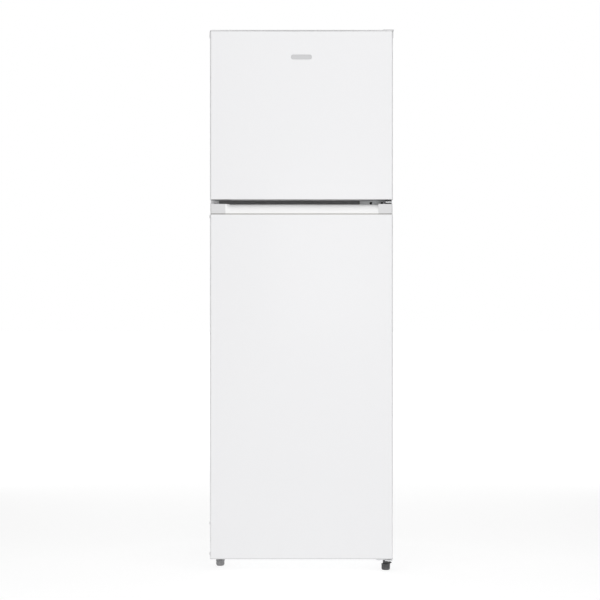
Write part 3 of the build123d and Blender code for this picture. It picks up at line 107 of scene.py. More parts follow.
class Nodes:
    """A short way to add and join the nodes of one material."""

    def __init__(self, name: str) -> None:
        """Start an empty material with its output and its shader.

        Args:
            name: the material's name.
        """
        self.material = bpy.data.materials.new(name)
        self.material.use_nodes = True
        self.tree = self.material.node_tree
        self.tree.nodes.clear()
        output = self.tree.nodes.new("ShaderNodeOutputMaterial")
        self.shader = self.tree.nodes.new("ShaderNodeBsdfPrincipled")
        self.join(self.shader.outputs[0], output.inputs["Surface"])
        self.place = self.tree.nodes.new("ShaderNodeTexCoord").outputs["Object"]

    def add(self, kind: str, **settings: object) -> bpy.types.Node:
        """Add a node and set its plain properties.

        Args:
            kind: the node's type.
            **settings: its properties.

        Returns:
            The node.
        """
        node = self.tree.nodes.new(kind)
        for key, value in settings.items():
            setattr(node, key, value)
        return node

    def join(self, source: bpy.types.NodeSocket, target: bpy.types.NodeSocket) -> None:
        """Link two sockets."""
        self.tree.links.new(source, target)

    def stretched(self, scale: Point) -> bpy.types.NodeSocket:
        """The object's coordinates, scaled by axis.

        Args:
            scale: the scale along each axis.

        Returns:
            The scaled coordinates.
        """
        mapping = self.add("ShaderNodeMapping")
        self.join(self.place, mapping.inputs["Vector"])
        mapping.inputs["Scale"].default_value = scale
        return mapping.outputs[0]

    def noise(self, scale: float, detail: float = 3.0,
              place: Optional[bpy.types.NodeSocket] = None) -> bpy.types.NodeSocket:
        """A noise value from 0 to 1.

        Args:
            scale: how fine it is.
            detail: how many finer layers it has.
            place: where it is read, or the object's own coordinates.

        Returns:
            The value.
        """
        node = self.add("ShaderNodeTexNoise")
        self.join(place or self.place, node.inputs["Vector"])
        node.inputs["Scale"].default_value = scale
        node.inputs["Detail"].default_value = detail
        return node.outputs[0]

    def cells(self, scale: float) -> bpy.types.Node:
        """A pattern of cells.

        Args:
            scale: how fine it is.

        Returns:
            The node.
        """
        node = self.add("ShaderNodeTexVoronoi")
        self.join(self.place, node.inputs["Vector"])
        node.inputs["Scale"].default_value = scale
        return node

    def ranged(self, value: bpy.types.NodeSocket, low: float, high: float,
               start: float = 0.3, end: float = 0.7) -> bpy.types.NodeSocket:
        """Bring a value from one range to another.

        Args:
            value: the value.
            low: the new lowest.
            high: the new highest.
            start: the old lowest.
            end: the old highest.

        Returns:
            The new value.
        """
        node = self.add("ShaderNodeMapRange")
        self.join(value, node.inputs["Value"])
        for name, number in (("From Min", start), ("From Max", end), ("To Min", low), ("To Max", high)):
            node.inputs[name].default_value = number
        return node.outputs[0]

    def blended(self, value: bpy.types.NodeSocket, first: Colour, second: Colour) -> bpy.types.NodeSocket:
        """A colour between two colours.

        Args:
            value: how far it is towards the second.
            first: the first colour.
            second: the second colour.

        Returns:
            The colour.
        """
        node = self.add("ShaderNodeMix", data_type="RGBA")
        self.join(value, node.inputs[0])
        node.inputs[6].default_value = (*first, 1)
        node.inputs[7].default_value = (*second, 1)
        return node.outputs[2]

    def bump(self, height: bpy.types.NodeSocket, distance: float, strength: float = 1.0,
             under: Optional[bpy.types.NodeSocket] = None) -> bpy.types.NodeSocket:
        """A bumped normal.

        Args:
            height: the relief.
            distance: its height in metres.
            strength: its share.
            under: a normal that it stands on.

        Returns:
            The normal.
        """
        node = self.add("ShaderNodeBump")
        self.join(height, node.inputs["Height"])
        node.inputs["Distance"].default_value = distance
        node.inputs["Strength"].default_value = strength
        if under is not None:
            self.join(under, node.inputs["Normal"])
        return node.outputs[0]


def shaded(colour: Colour, factor: float) -> Colour:
    """A colour made lighter or darker."""
    return tuple(min(1.0, channel * factor) for channel in colour)


@dataclass(frozen=True)
class Finish:
    """A moulded or painted finish: fine grain, a slow drift of tone, and uneven gloss.

    Attributes:
        name: the material's name.
        colour: its linear colour.
        roughness: its middle roughness.
        gloss_drift: how far the roughness wanders either way.
        tone_drift: how far the tone wanders, as a share.
        grain: how many grains there are to a metre.
        relief: the grain's height in metres.
        metallic: how far it is a metal.
        coat: the share of clear gloss over it.
        coat_roughness: the clear gloss's roughness.
        specular: the strength of its reflections.
    """

    name: str
    colour: Colour
    roughness: float = 0.4
    gloss_drift: float = 0.05
    tone_drift: float = 0.015
    grain: float = 900.0
    relief: float = 0.00003
    metallic: float = 0.0
    coat: float = 0.0
    coat_roughness: float = 0.1
    specular: float = 0.5

    def build(self) -> bpy.types.Material:
        """Build the material."""
        nodes = Nodes(self.name)
        self.dress(nodes)
        shader = nodes.shader
        shader.inputs["Metallic"].default_value = self.metallic
        shader.inputs["Coat Weight"].default_value = self.coat
        shader.inputs["Coat Roughness"].default_value = self.coat_roughness
        shader.inputs["Specular IOR Level"].default_value = self.specular
        nodes.material.diffuse_color = (*self.colour, 1)
        return nodes.material

    def dress(self, nodes: Nodes) -> None:
        """Colour, roughness and relief from noise.

        Args:
            nodes: the material's nodes.
        """
        slow = nodes.noise(4.0, 2.0)
        colour = nodes.blended(slow, shaded(self.colour, 1 - self.tone_drift),
                               shaded(self.colour, 1 + self.tone_drift))
        nodes.join(colour, nodes.shader.inputs["Base Color"])
        gloss = nodes.ranged(nodes.noise(22.0, 4.0), self.roughness - self.gloss_drift,
                             self.roughness + self.gloss_drift)
        nodes.join(gloss, nodes.shader.inputs["Roughness"])
        nodes.join(nodes.bump(nodes.noise(self.grain, 2.0), self.relief), nodes.shader.inputs["Normal"])


@dataclass(frozen=True)
class EnamelSteel(Finish):
    """Sprayed white enamel on steel, with the faint ripple of its paint under a clear gloss."""

    def dress(self, nodes: Nodes) -> None:
        """Add a slow ripple under the fine orange peel.

        Args:
            nodes: the material's nodes.
        """
        super().dress(nodes)
        ripple = nodes.bump(nodes.noise(30.0, 1.0), 0.000003)
        peel = nodes.bump(nodes.noise(self.grain, 2.0), self.relief, under=ripple)
        nodes.join(peel, nodes.shader.inputs["Normal"])
        nodes.join(ripple, nodes.shader.inputs["Coat Normal"])


@dataclass(frozen=True)
class WornPlastic(Finish):
    """Moulded plastic that is paler along its edges."""

    worn: Colour = (0.5, 0.5, 0.5)

    def dress(self, nodes: Nodes) -> None:
        """Lighten the edges by how sharply the surface turns.

        Args:
            nodes: the material's nodes.
        """
        super().dress(nodes)
        edge = nodes.add("ShaderNodeNewGeometry").outputs["Pointiness"]
        rubbed = nodes.ranged(edge, 0.0, 0.6, 0.5, 0.58)
        broken = nodes.add("ShaderNodeMath", operation="MULTIPLY")
        nodes.join(rubbed, broken.inputs[0])
        nodes.join(nodes.noise(160.0, 4.0), broken.inputs[1])
        nodes.join(nodes.blended(broken.outputs[0], self.colour, self.worn),
                   nodes.shader.inputs["Base Color"])


@dataclass(frozen=True)
class ClearPlastic(Finish):
    """See-through moulded plastic or glass with fine scuffs."""

    see_through: float = 0.9
    index: float = 1.49

    def dress(self, nodes: Nodes) -> None:
        """Let light through, and scuff the surface in fine lines.

        Args:
            nodes: the material's nodes.
        """
        super().dress(nodes)
        scuffs = nodes.noise(60.0, 6.0, nodes.stretched((1.0, 1.0, 18.0)))
        nodes.join(nodes.ranged(scuffs, self.roughness, self.roughness + 0.12, 0.55, 0.75),
                   nodes.shader.inputs["Roughness"])
        nodes.shader.inputs["Transmission Weight"].default_value = self.see_through
        nodes.shader.inputs["IOR"].default_value = self.index


@dataclass(frozen=True)
class GalvanisedSheet(Finish):
    """Zinc-coated sheet with its crystal spangle."""

    spangle: float = 140.0

    def dress(self, nodes: Nodes) -> None:
        """Give every crystal its own tone and gloss.

        Args:
            nodes: the material's nodes.
        """
        super().dress(nodes)
        crystal = nodes.cells(self.spangle)
        tone = nodes.add("ShaderNodeSeparateColor")
        nodes.join(crystal.outputs["Color"], tone.inputs[0])
        nodes.join(nodes.blended(tone.outputs[0], shaded(self.colour, 0.95), shaded(self.colour, 1.04)),
                   nodes.shader.inputs["Base Color"])
        nodes.join(nodes.ranged(tone.outputs[1], self.roughness - 0.1, self.roughness + 0.12, 0.0, 1.0),
                   nodes.shader.inputs["Roughness"])


@dataclass(frozen=True)
class DrawnMetal(Finish):
    """Rolled, drawn or brushed metal with fine lines along one direction."""

    along: Point = (1.0, 1.0, 60.0)

    def dress(self, nodes: Nodes) -> None:
        """Stretch the grain into lines.

        Args:
            nodes: the material's nodes.
        """
        super().dress(nodes)
        lines = nodes.noise(40.0, 5.0, nodes.stretched(self.along))
        nodes.join(nodes.blended(lines, shaded(self.colour, 0.85), shaded(self.colour, 1.1)),
                   nodes.shader.inputs["Base Color"])
        nodes.join(nodes.bump(lines, 0.00002), nodes.shader.inputs["Normal"])


@dataclass(frozen=True)
class CellFoam(Finish):
    """Foamed insulation with its skin of small cells."""

    def dress(self, nodes: Nodes) -> None:
        """Round cells in relief.

        Args:
            nodes: the material's nodes.
        """
        super().dress(nodes)
        cell = nodes.cells(self.grain)
        nodes.join(nodes.bump(cell.outputs["Distance"], self.relief), nodes.shader.inputs["Normal"])


FINISHES: Dict[str, Finish] = {
    "door_steel": EnamelSteel("white_enamel", (0.825, 0.825, 0.835), 0.32, 0.02, 0.003, 1400.0, 0.0000015,
                              coat=0.4, coat_roughness=0.15),
    "cap_plastic": Finish("white_cap_plastic", (0.68, 0.68, 0.685), 0.38, 0.04, 0.008, 1800.0, 0.000004),
    "liner_plastic": Finish("white_liner_plastic", (0.82, 0.82, 0.815), 0.34, 0.03, 0.006, 700.0, 0.000002,
                            coat=0.2, coat_roughness=0.2),
    "clear_plastic": ClearPlastic("clear_bin_plastic", (0.93, 0.965, 0.98), 0.05, grain=300.0),
    "lamp_lens": ClearPlastic("lamp_lens_plastic", (0.97, 0.97, 0.95), 0.22, grain=500.0, see_through=0.7),
    "ice_plastic": Finish("blue_white_tray_plastic", (0.66, 0.75, 0.84), 0.35, grain=600.0),
    "shelf_glass": ClearPlastic("toughened_glass", (0.86, 0.96, 0.92), 0.02, 0.01, grain=40.0,
                                relief=0.00001, index=1.52),
    "freezer_grid": EnamelSteel("white_grid_enamel", (0.8, 0.8, 0.8), 0.35, grain=900.0, coat=0.3),
    "door_seal": Finish("grey_seal_vinyl", (0.56, 0.56, 0.565), 0.55, 0.06, 0.03, 500.0, 0.00004,
                        specular=0.4),
    # The strip between the doors: a dark grey that is partly the strip's own colour and partly painted shade
    # of the deep gap between the doors.
    "dark_trim": WornPlastic("dark_strip_plastic_and_painted_gap_shade", (0.25, 0.25, 0.253), 0.45, grain=1200.0,
                             worn=(0.3, 0.3, 0.3)),
    "black_plastic": WornPlastic("black_plastic", (0.018, 0.018, 0.019), 0.4, worn=(0.14, 0.14, 0.14)),
    "zinc_steel": GalvanisedSheet("zinc_sheet", (0.74, 0.75, 0.76), 0.42, metallic=0.5, relief=0.00001),
    "screw_black": DrawnMetal("black_oxide_screws", (0.035, 0.035, 0.037), 0.38, metallic=0.6,
                              along=(30.0, 1.0, 1.0)),
    "compressor_black": EnamelSteel("black_can_paint", (0.012, 0.012, 0.013), 0.28, grain=500.0,
                                    relief=0.00004, coat=0.3),
    "mount_rubber": Finish("black_rubber", (0.022, 0.022, 0.022), 0.75, 0.08, 0.1, 420.0, 0.00006,
                           specular=0.3),
    "tube_metal": DrawnMetal("copper_tube", (0.72, 0.36, 0.22), 0.3, metallic=1.0, along=(50.0, 50.0, 1.0)),
    "fin_metal": DrawnMetal("aluminium_fins", (0.78, 0.79, 0.8), 0.33, metallic=1.0),
    "motor_metal": DrawnMetal("motor_steel", (0.5, 0.5, 0.52), 0.35, metallic=1.0, along=(1.0, 60.0, 1.0)),
    "foam": CellFoam("insulating_foam", (0.78, 0.7, 0.42), 0.8, grain=260.0, relief=0.0004),
    "badge_metal": DrawnMetal("pale_badge_metal", (0.58, 0.58, 0.59), 0.34, metallic=0.35,
                              along=(1.0, 1.0, 80.0)),
    "foot_grey": WornPlastic("grey_foot_plastic", (0.22, 0.22, 0.225), 0.5, worn=(0.5, 0.5, 0.5)),
    "foot_dark": WornPlastic("dark_foot_plastic", (0.05, 0.05, 0.052), 0.48, worn=(0.25, 0.25, 0.25)),
    "roller_plastic": WornPlastic("roller_nylon", (0.07, 0.07, 0.07), 0.5, worn=(0.2, 0.2, 0.2)),
}


class Paints:
    """Builds each finish once and hands it out by its slot."""

    def __init__(self) -> None:
        """Start with nothing built, and the slot of every node from the record."""
        self.built: Dict[str, bpy.types.Material] = {}
        self.slot_of = {part["node"]: part["material_slot"] for part in frame["record"]["subparts"]}

    def get(self, slot: str) -> bpy.types.Material:
        """The material of a slot.

        Args:
            slot: the record's slot.

        Returns:
            The material.
        """
        if slot not in self.built:
            self.built[slot] = FINISHES[slot].build()
        return self.built[slot]


# ---------------------------------------------------------------- meshes


def new_piece(name: str, mesh: bpy.types.Mesh) -> bpy.types.Object:
    """Link a mesh into the scene as a piece.

    Args:
        name: the piece's name.
        mesh: its mesh.

    Returns:
        The new piece.
    """
    piece = bpy.data.objects.new(name, mesh)
    bpy.context.scene.collection.objects.link(piece)
    return piece


def piece_from(name: str, shape: bmesh.types.BMesh) -> bpy.types.Object:
    """Make a piece from a working mesh, with its faces turned outwards.

    Args:
        name: the piece's name.
        shape: the working mesh, which is freed.

    Returns:
        The new piece.
    """
    bmesh.ops.recalc_face_normals(shape, faces=shape.faces)
    mesh = bpy.data.meshes.new(name)
    shape.to_mesh(mesh)
    shape.free()
    return new_piece(name, mesh)


def applied(piece: bpy.types.Object) -> bpy.types.Object:
    """Turn a piece's live modifiers into its plain mesh.

    Args:
        piece: an object with modifiers.

    Returns:
        The same object, with no modifiers.
    """
    graph = bpy.context.evaluated_depsgraph_get()
    graph.update()
    mesh = bpy.data.meshes.new_from_object(piece.evaluated_get(graph))
    old = piece.data
    piece.modifiers.clear()
    piece.data = mesh
    bpy.data.meshes.remove(old)
    return piece


def smoothed(piece: bpy.types.Object, angle: float = SHARP_ANGLE) -> bpy.types.Object:
    """Shade a piece smooth.

    Args:
        piece: the piece.
        angle: the angle in degrees above which an edge stays sharp.

    Returns:
        The same piece.
    """
    piece.data.shade_smooth()
    piece.data.set_sharp_from_angle(angle=math.radians(angle))
    return piece


def bevelled(piece: bpy.types.Object, width: float, segments: int = 2) -> bpy.types.Object:
    """Round every edge of a piece.

    Args:
        piece: the piece.
        width: the bevel's width in millimetres.
        segments: how many facets each rounded edge has.

    Returns:
        The piece, smooth, with a plain mesh.
    """
    piece.data.shade_smooth()
    bevel = piece.modifiers.new("round_edges", "BEVEL")
    bevel.width = width * MM
    bevel.segments = segments
    bevel.limit_method = "ANGLE"
    bevel.angle_limit = math.radians(SHARP_ANGLE)
    bevel.use_clamp_overlap = True
    bevel.harden_normals = True
    cut = piece.modifiers.new("cut_faces", "TRIANGULATE")
    cut.min_vertices = 5
    cut.keep_custom_normals = True
    return applied(piece)


def softened(node: str, width: float) -> bpy.types.Object:
    """A copy of a frame node whose edges are rounded as moulding or pressing leaves them.

    Args:
        node: the frame node.
        width: the bevel's width in millimetres.

    Returns:
        The new piece, which isn't riding yet.
    """
    shape = bmesh.new()
    shape.from_mesh(frame["nodes"][node].data)
    bmesh.ops.remove_doubles(shape, verts=shape.verts, dist=SAME_POINT * MM)
    bmesh.ops.dissolve_limit(shape, angle_limit=math.radians(FLAT_ANGLE), use_dissolve_boundaries=False,
                             verts=shape.verts, edges=shape.edges, delimit={"NORMAL"})
    mesh = bpy.data.meshes.new(node + "_finished")
    shape.to_mesh(mesh)
    shape.free()
    for spare in ("custom_normal", "sharp_edge", "sharp_face"):
        if spare in mesh.attributes:
            mesh.attributes.remove(mesh.attributes[spare])
    while mesh.uv_layers:
        mesh.uv_layers.remove(mesh.uv_layers[0])
    return bevelled(new_piece(node + "_finished", mesh), width)


def add_block(shape: bmesh.types.BMesh, low: Point, high: Point) -> List[bmesh.types.BMVert]:
    """Add a box between two corners.

    Args:
        shape: the working mesh.
        low: one corner in millimetres.
        high: the other corner.

    Returns:
        The box's vertices.
    """
    middle = Vector([(a + b) / 2 * MM for a, b in zip(low, high)])
    size = [abs(b - a) * MM for a, b in zip(low, high)]
    place = Matrix.Translation(middle) @ Matrix.Diagonal((*size, 1))
    return bmesh.ops.create_cube(shape, size=1, matrix=place)["verts"]


def block_piece(name: str, boxes: Sequence[Tuple[Point, Point]]) -> bpy.types.Object:
    """A piece made of boxes.

    Args:
        name: the piece's name.
        boxes: each box's two corners in millimetres.

    Returns:
        The new piece.
    """
    shape = bmesh.new()
    for low, high in boxes:
        add_block(shape, low, high)
    return piece_from(name, shape)


def add_lathe(shape: bmesh.types.BMesh, profile: Outline, centre: Point, segments: int) -> None:
    """Add a form turned on an upright axis.

    Args:
        shape: the working mesh.
        profile: (radius, height) points in millimetres; a radius of 0 closes that end at its pole.
        centre: where the axis starts, in millimetres.
        segments: how many sides the form has.
    """
    place = Matrix.Translation(Vector(centre) * MM)
    rings = []
    for radius, height in profile:
        if radius == 0:
            rings.append([shape.verts.new(place @ Vector((0, 0, height * MM)))])
            continue
        ring = []
        for index in range(segments):
            angle = index * FULL_TURN / segments
            ring.append(shape.verts.new(place @ Vector((radius * MM * math.cos(angle),
                                                        radius * MM * math.sin(angle), height * MM))))
        rings.append(ring)
    for lower, upper in zip(rings, rings[1:]):
        for index in range(segments):
            after = (index + 1) % segments
            corners = [lower[index % len(lower)], lower[after % len(lower)],
                       upper[after % len(upper)], upper[index % len(upper)]]
            shape.faces.new(list(dict.fromkeys(corners)))


def add_wire(shape: bmesh.types.BMesh, path: Sequence[Point], radius: float, sides: int = 10) -> None:
    """Add a round wire through points, with flat ends.

    Args:
        shape: the working mesh.
        path: the wire's points in millimetres.
        radius: the wire's radius in millimetres.
        sides: how many sides the wire has.
    """
    points = [Vector(point) * MM for point in path]
    rings = []
    for index, point in enumerate(points):
        before = points[max(index - 1, 0)]
        after = points[min(index + 1, len(points) - 1)]
        turn = (after - before).to_track_quat("Z", "Y").to_matrix()
        ring = [shape.verts.new(point + turn @ Vector((radius * MM * math.cos(side * FULL_TURN / sides),
                                                       radius * MM * math.sin(side * FULL_TURN / sides), 0)))
                for side in range(sides)]
        rings.append(ring)
    for lower, upper in zip(rings, rings[1:]):
        for side in range(sides):
            after = (side + 1) % sides
            shape.faces.new([lower[side], lower[after], upper[after], upper[side]])
    shape.faces.new(rings[0][::-1])
    shape.faces.new(rings[-1])


def add_bar(shape: bmesh.types.BMesh, outline: Outline, x0: float, x1: float) -> None:
    """Add a bar of one section along X.

    Args:
        shape: the working mesh.
        outline: its (y, z) points in millimetres, in order round the section.
        x0: the left end.
        x1: the right end.
    """
    ends = [[shape.verts.new((x * MM, y * MM, z * MM)) for y, z in outline] for x in (x0, x1)]
    count = len(outline)
    for index in range(count):
        after = (index + 1) % count
        shape.faces.new([ends[0][index], ends[0][after], ends[1][after], ends[1][index]])
    shape.faces.new(ends[0][::-1])
    shape.faces.new(ends[1])


def add_tub(shape: bmesh.types.BMesh, low: Vector, high: Vector, wall: float, corner: float) -> None:
    """Add an open tub with rounded corners, a rounded foot and a rim that stands proud.

    Args:
        shape: the working mesh.
        low: the tub's lowest corner in millimetres.
        high: its highest corner in millimetres.
        wall: the wall's thickness.
        corner: the radius of its upright corners.
    """
    rim = 1.2
    # Pairs of inset and level: up the outside, over the rim and down the inside.
    levels = ((4.0, low.z), (2.0, low.z + 0.8), (rim, low.z + 3), (rim, high.z - 6), (0.1, high.z - 5),
              (0, high.z - 4.6), (0, high.z - 0.7), (0.7, high.z), (wall - 0.5, high.z),
              (wall, high.z - 0.7), (wall, low.z + wall + 3), (wall + 0.9, low.z + wall + 0.9),
              (wall + 3, low.z + wall))
    steps = 6
    loops = []
    for inset, z in levels:
        radius = corner - min(inset, corner - 1)
        loop = []
        for quarter, (side, end) in enumerate(((1, 1), (-1, 1), (-1, -1), (1, -1))):
            x = (high.x - inset - radius) if side > 0 else (low.x + inset + radius)
            y = (high.y - inset - radius) if end > 0 else (low.y + inset + radius)
            for step in range(steps + 1):
                angle = (quarter + step / steps) * math.pi / 2
                loop.append(shape.verts.new(((x + radius * math.cos(angle)) * MM,
                                             (y + radius * math.sin(angle)) * MM, z * MM)))
        loops.append(loop)
    count = len(loops[0])
    for lower, upper in zip(loops, loops[1:]):
        for index in range(count):
            after = (index + 1) % count
            shape.faces.new([lower[index], lower[after], upper[after], upper[index]])
    shape.faces.new(loops[0])
    shape.faces.new(loops[-1])


def add_frame(shape: bmesh.types.BMesh, section: Outline, half: float, low: float, high: float) -> None:
    """Add a mitred rectangular frame that lies in a vertical plane.

    Args:
        shape: the working mesh.
        section: (inset, y) points in millimetres, in order round the section.
        half: the frame's outer half width.
        low: its outer bottom.
        high: its outer top.
    """
    corners = ((-1, 0), (1, 0), (1, 1), (-1, 1))
    loops = []
    for side, top in corners:
        loop = []
        for inset, y in section:
            z = high - inset if top else low + inset
            loop.append(shape.verts.new((side * (half - inset) * MM, y * MM, z * MM)))
        loops.append(loop)
    count = len(section)
    for index in range(4):
        here, there = loops[index], loops[(index + 1) % 4]
        for step in range(count):
            after = (step + 1) % count
            shape.faces.new([here[step], here[after], there[after], there[step]])


# ---------------------------------------------------------------- geometry node trees


class Grower:
    """A node tree that repeats a shape, with named inputs, and the object that it is grown on."""

    def __init__(self, name: str, inputs: Dict[str, str]) -> None:
        """Start a tree.

        Args:
            name: the tree's name.
            inputs: each input's name and socket type.
        """
        self.tree = bpy.data.node_groups.new(name, "GeometryNodeTree")
        self.tree.interface.new_socket("Geometry", in_out="INPUT", socket_type="NodeSocketGeometry")
        self.identifiers: Dict[str, str] = {}
        for label, kind in {**inputs, "Material": "NodeSocketMaterial"}.items():
            socket = self.tree.interface.new_socket(label, in_out="INPUT", socket_type=kind)
            self.identifiers[label] = socket.identifier
        self.tree.interface.new_socket("Geometry", in_out="OUTPUT", socket_type="NodeSocketGeometry")
        self.given = self.tree.nodes.new("NodeGroupInput")
        self.output = self.tree.nodes.new("NodeGroupOutput")

    def add(self, kind: str, links: Dict[str, bpy.types.NodeSocket], **settings: object) -> bpy.types.Node:
        """Add a node, set its properties and link its inputs by name.

        Args:
            kind: the node's type.
            links: the source of each named input.
            **settings: its properties.

        Returns:
            The node.
        """
        node = self.tree.nodes.new(kind)
        for key, value in settings.items():
            setattr(node, key, value)
        for label, source in links.items():
            self.tree.links.new(source, node.inputs[label])
        return node

    def close(self, instances: bpy.types.NodeSocket) -> None:
        """End the tree in real geometry that carries its material.

        Args:
            instances: the geometry to end in.
        """
        real = self.add("GeometryNodeRealizeInstances", {"Geometry": instances})
        dressed = self.add("GeometryNodeSetMaterial", {"Geometry": real.outputs[0],
                                                       "Material": self.given.outputs["Material"]})
        self.tree.links.new(dressed.outputs[0], self.output.inputs[0])

    def grow(self, name: str, base: bpy.types.Mesh, values: Dict[str, object]) -> bpy.types.Object:
        """Grow the tree on a mesh.

        Args:
            name: the new piece's name.
            base: the mesh that the tree is given.
            values: each input's value.

        Returns:
            A piece with a plain mesh.
        """
        piece = new_piece(name, base)
        modifier = piece.modifiers.new("grow", "NODES")
        modifier.node_group = self.tree
        for label, value in values.items():
            modifier[self.identifiers[label]] = value
        return applied(piece)


def bar_rows() -> Grower:
    """A tree that sets bars at the points it is given, each turned and sized the same."""
    grower = Grower("bar_rows", {"Bar Size": "NodeSocketVector", "Bar Turn": "NodeSocketRotation"})
    bar = grower.add("GeometryNodeMeshCube", {"Size": grower.given.outputs["Bar Size"]})
    placed = grower.add("GeometryNodeInstanceOnPoints",
                        {"Points": grower.given.outputs["Geometry"], "Instance": bar.outputs[0],
                         "Rotation": grower.given.outputs["Bar Turn"]})
    grower.close(placed.outputs[0])
    return grower


def bar_ring() -> Grower:
    """A tree that sets upright bars round a circle, each facing outwards."""
    grower = Grower("bar_ring", {"Count": "NodeSocketInt", "Radius": "NodeSocketFloat",
                                 "Bar Size": "NodeSocketVector", "Centre": "NodeSocketVector"})
    circle = grower.add("GeometryNodeMeshCircle", {"Vertices": grower.given.outputs["Count"],
                                                   "Radius": grower.given.outputs["Radius"]})
    place = grower.add("GeometryNodeInputPosition", {})
    parts = grower.add("ShaderNodeSeparateXYZ", {"Vector": place.outputs[0]})
    angle = grower.add("ShaderNodeMath", {}, operation="ARCTAN2")
    grower.tree.links.new(parts.outputs[1], angle.inputs[0])
    grower.tree.links.new(parts.outputs[0], angle.inputs[1])
    turn = grower.add("ShaderNodeCombineXYZ", {"Z": angle.outputs[0]})
    bar = grower.add("GeometryNodeMeshCube", {"Size": grower.given.outputs["Bar Size"]})
    placed = grower.add("GeometryNodeInstanceOnPoints",
                        {"Points": circle.outputs[0], "Instance": bar.outputs[0],
                         "Rotation": turn.outputs[0]})
    moved = grower.add("GeometryNodeTransform", {"Geometry": placed.outputs[0],
                                                 "Translation": grower.given.outputs["Centre"]})
    grower.close(moved.outputs[0])
    return grower


def part_scatter() -> Grower:
    """A tree that sets a copy of one part at each point, turned by the point's own turn."""
    grower = Grower("part_scatter", {"Part": "NodeSocketObject", "Scale": "NodeSocketFloat"})
    part = grower.add("GeometryNodeObjectInfo", {"Object": grower.given.outputs["Part"]})
    turn = grower.add("GeometryNodeInputNamedAttribute", {}, data_type="FLOAT_VECTOR")
    turn.inputs["Name"].default_value = "turn"
    placed = grower.add("GeometryNodeInstanceOnPoints",
                        {"Points": grower.given.outputs["Geometry"], "Instance": part.outputs["Geometry"],
                         "Rotation": turn.outputs[0], "Scale": grower.given.outputs["Scale"]})
    grower.close(placed.outputs[0])
    return grower


def points_mesh(name: str, points: Sequence[Point],
                turns: Optional[Sequence[Point]] = None) -> bpy.types.Mesh:
    """A mesh of loose points.

    Args:
        name: the mesh's name.
        points: the points in millimetres.
        turns: each point's turn in radians, if they have one.

    Returns:
        The mesh.
    """
    mesh = bpy.data.meshes.new(name)
    mesh.from_pydata([tuple(value * MM for value in point) for point in points], [], [])
    if turns is not None:
        attribute = mesh.attributes.new("turn", "FLOAT_VECTOR", "POINT")
        for index, turn in enumerate(turns):
            attribute.data[index].vector = turn
    return mesh


def merged(name: str, pieces: Sequence[bpy.types.Object]) -> bpy.types.Object:
    """One piece from several of the same finish.

    Args:
        name: the new piece's name.
        pieces: the pieces, which are removed.

    Returns:
        The new piece.
    """
    shape = bmesh.new()
    for piece in pieces:
        shape.from_mesh(piece.data)
        bpy.data.objects.remove(piece)
    mesh = bpy.data.meshes.new(name)
    shape.to_mesh(mesh)
    shape.free()
    return new_piece(name, mesh)


def node_box(node: str) -> Tuple[Vector, Vector]:
    """A frame node's lowest and highest corners, in millimetres."""
    low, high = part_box(node)
    return Vector(low) / MM, Vector(high) / MM


# ---------------------------------------------------------------- the refrigerator


class Workshop:
    """What every sub-assembly shares: the paints, the trees and how a piece is finished."""

    def __init__(self) -> None:
        """Build the trees once."""
        self.paints = Paints()
        self.rows = bar_rows()
        self.ring = bar_ring()
        self.scatter = part_scatter()

    def finish(self, piece: bpy.types.Object, slot: str, body: Body, *nodes: str) -> bpy.types.Object:
        """Dress a piece, put it on its body and hide the nodes that it stands for.

        Args:
            piece: the piece.
            slot: the record's slot of its finish.
            body: the body that it rides on.
            *nodes: the frame nodes that it replaces, if any.

        Returns:
            The piece.
        """
        piece.data.materials.clear()
        piece.data.materials.append(self.paints.get(slot))
        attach(piece, body.value)
        if nodes:
            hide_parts(*nodes)
        return piece

    def soften(self, node: str, width: float) -> bpy.types.Object:
        """Replace a frame node by its softened copy, in the node's own finish."""
        body = Body(frame["nodes"][node]["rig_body"])
        return self.finish(softened(node, width), self.paints.slot_of[node], body, node)

    def soften_all(self, edges: Dict[str, float]) -> None:
        """Soften several nodes, each by its own bevel width."""
        for node, width in edges.items():
            self.soften(node, width)


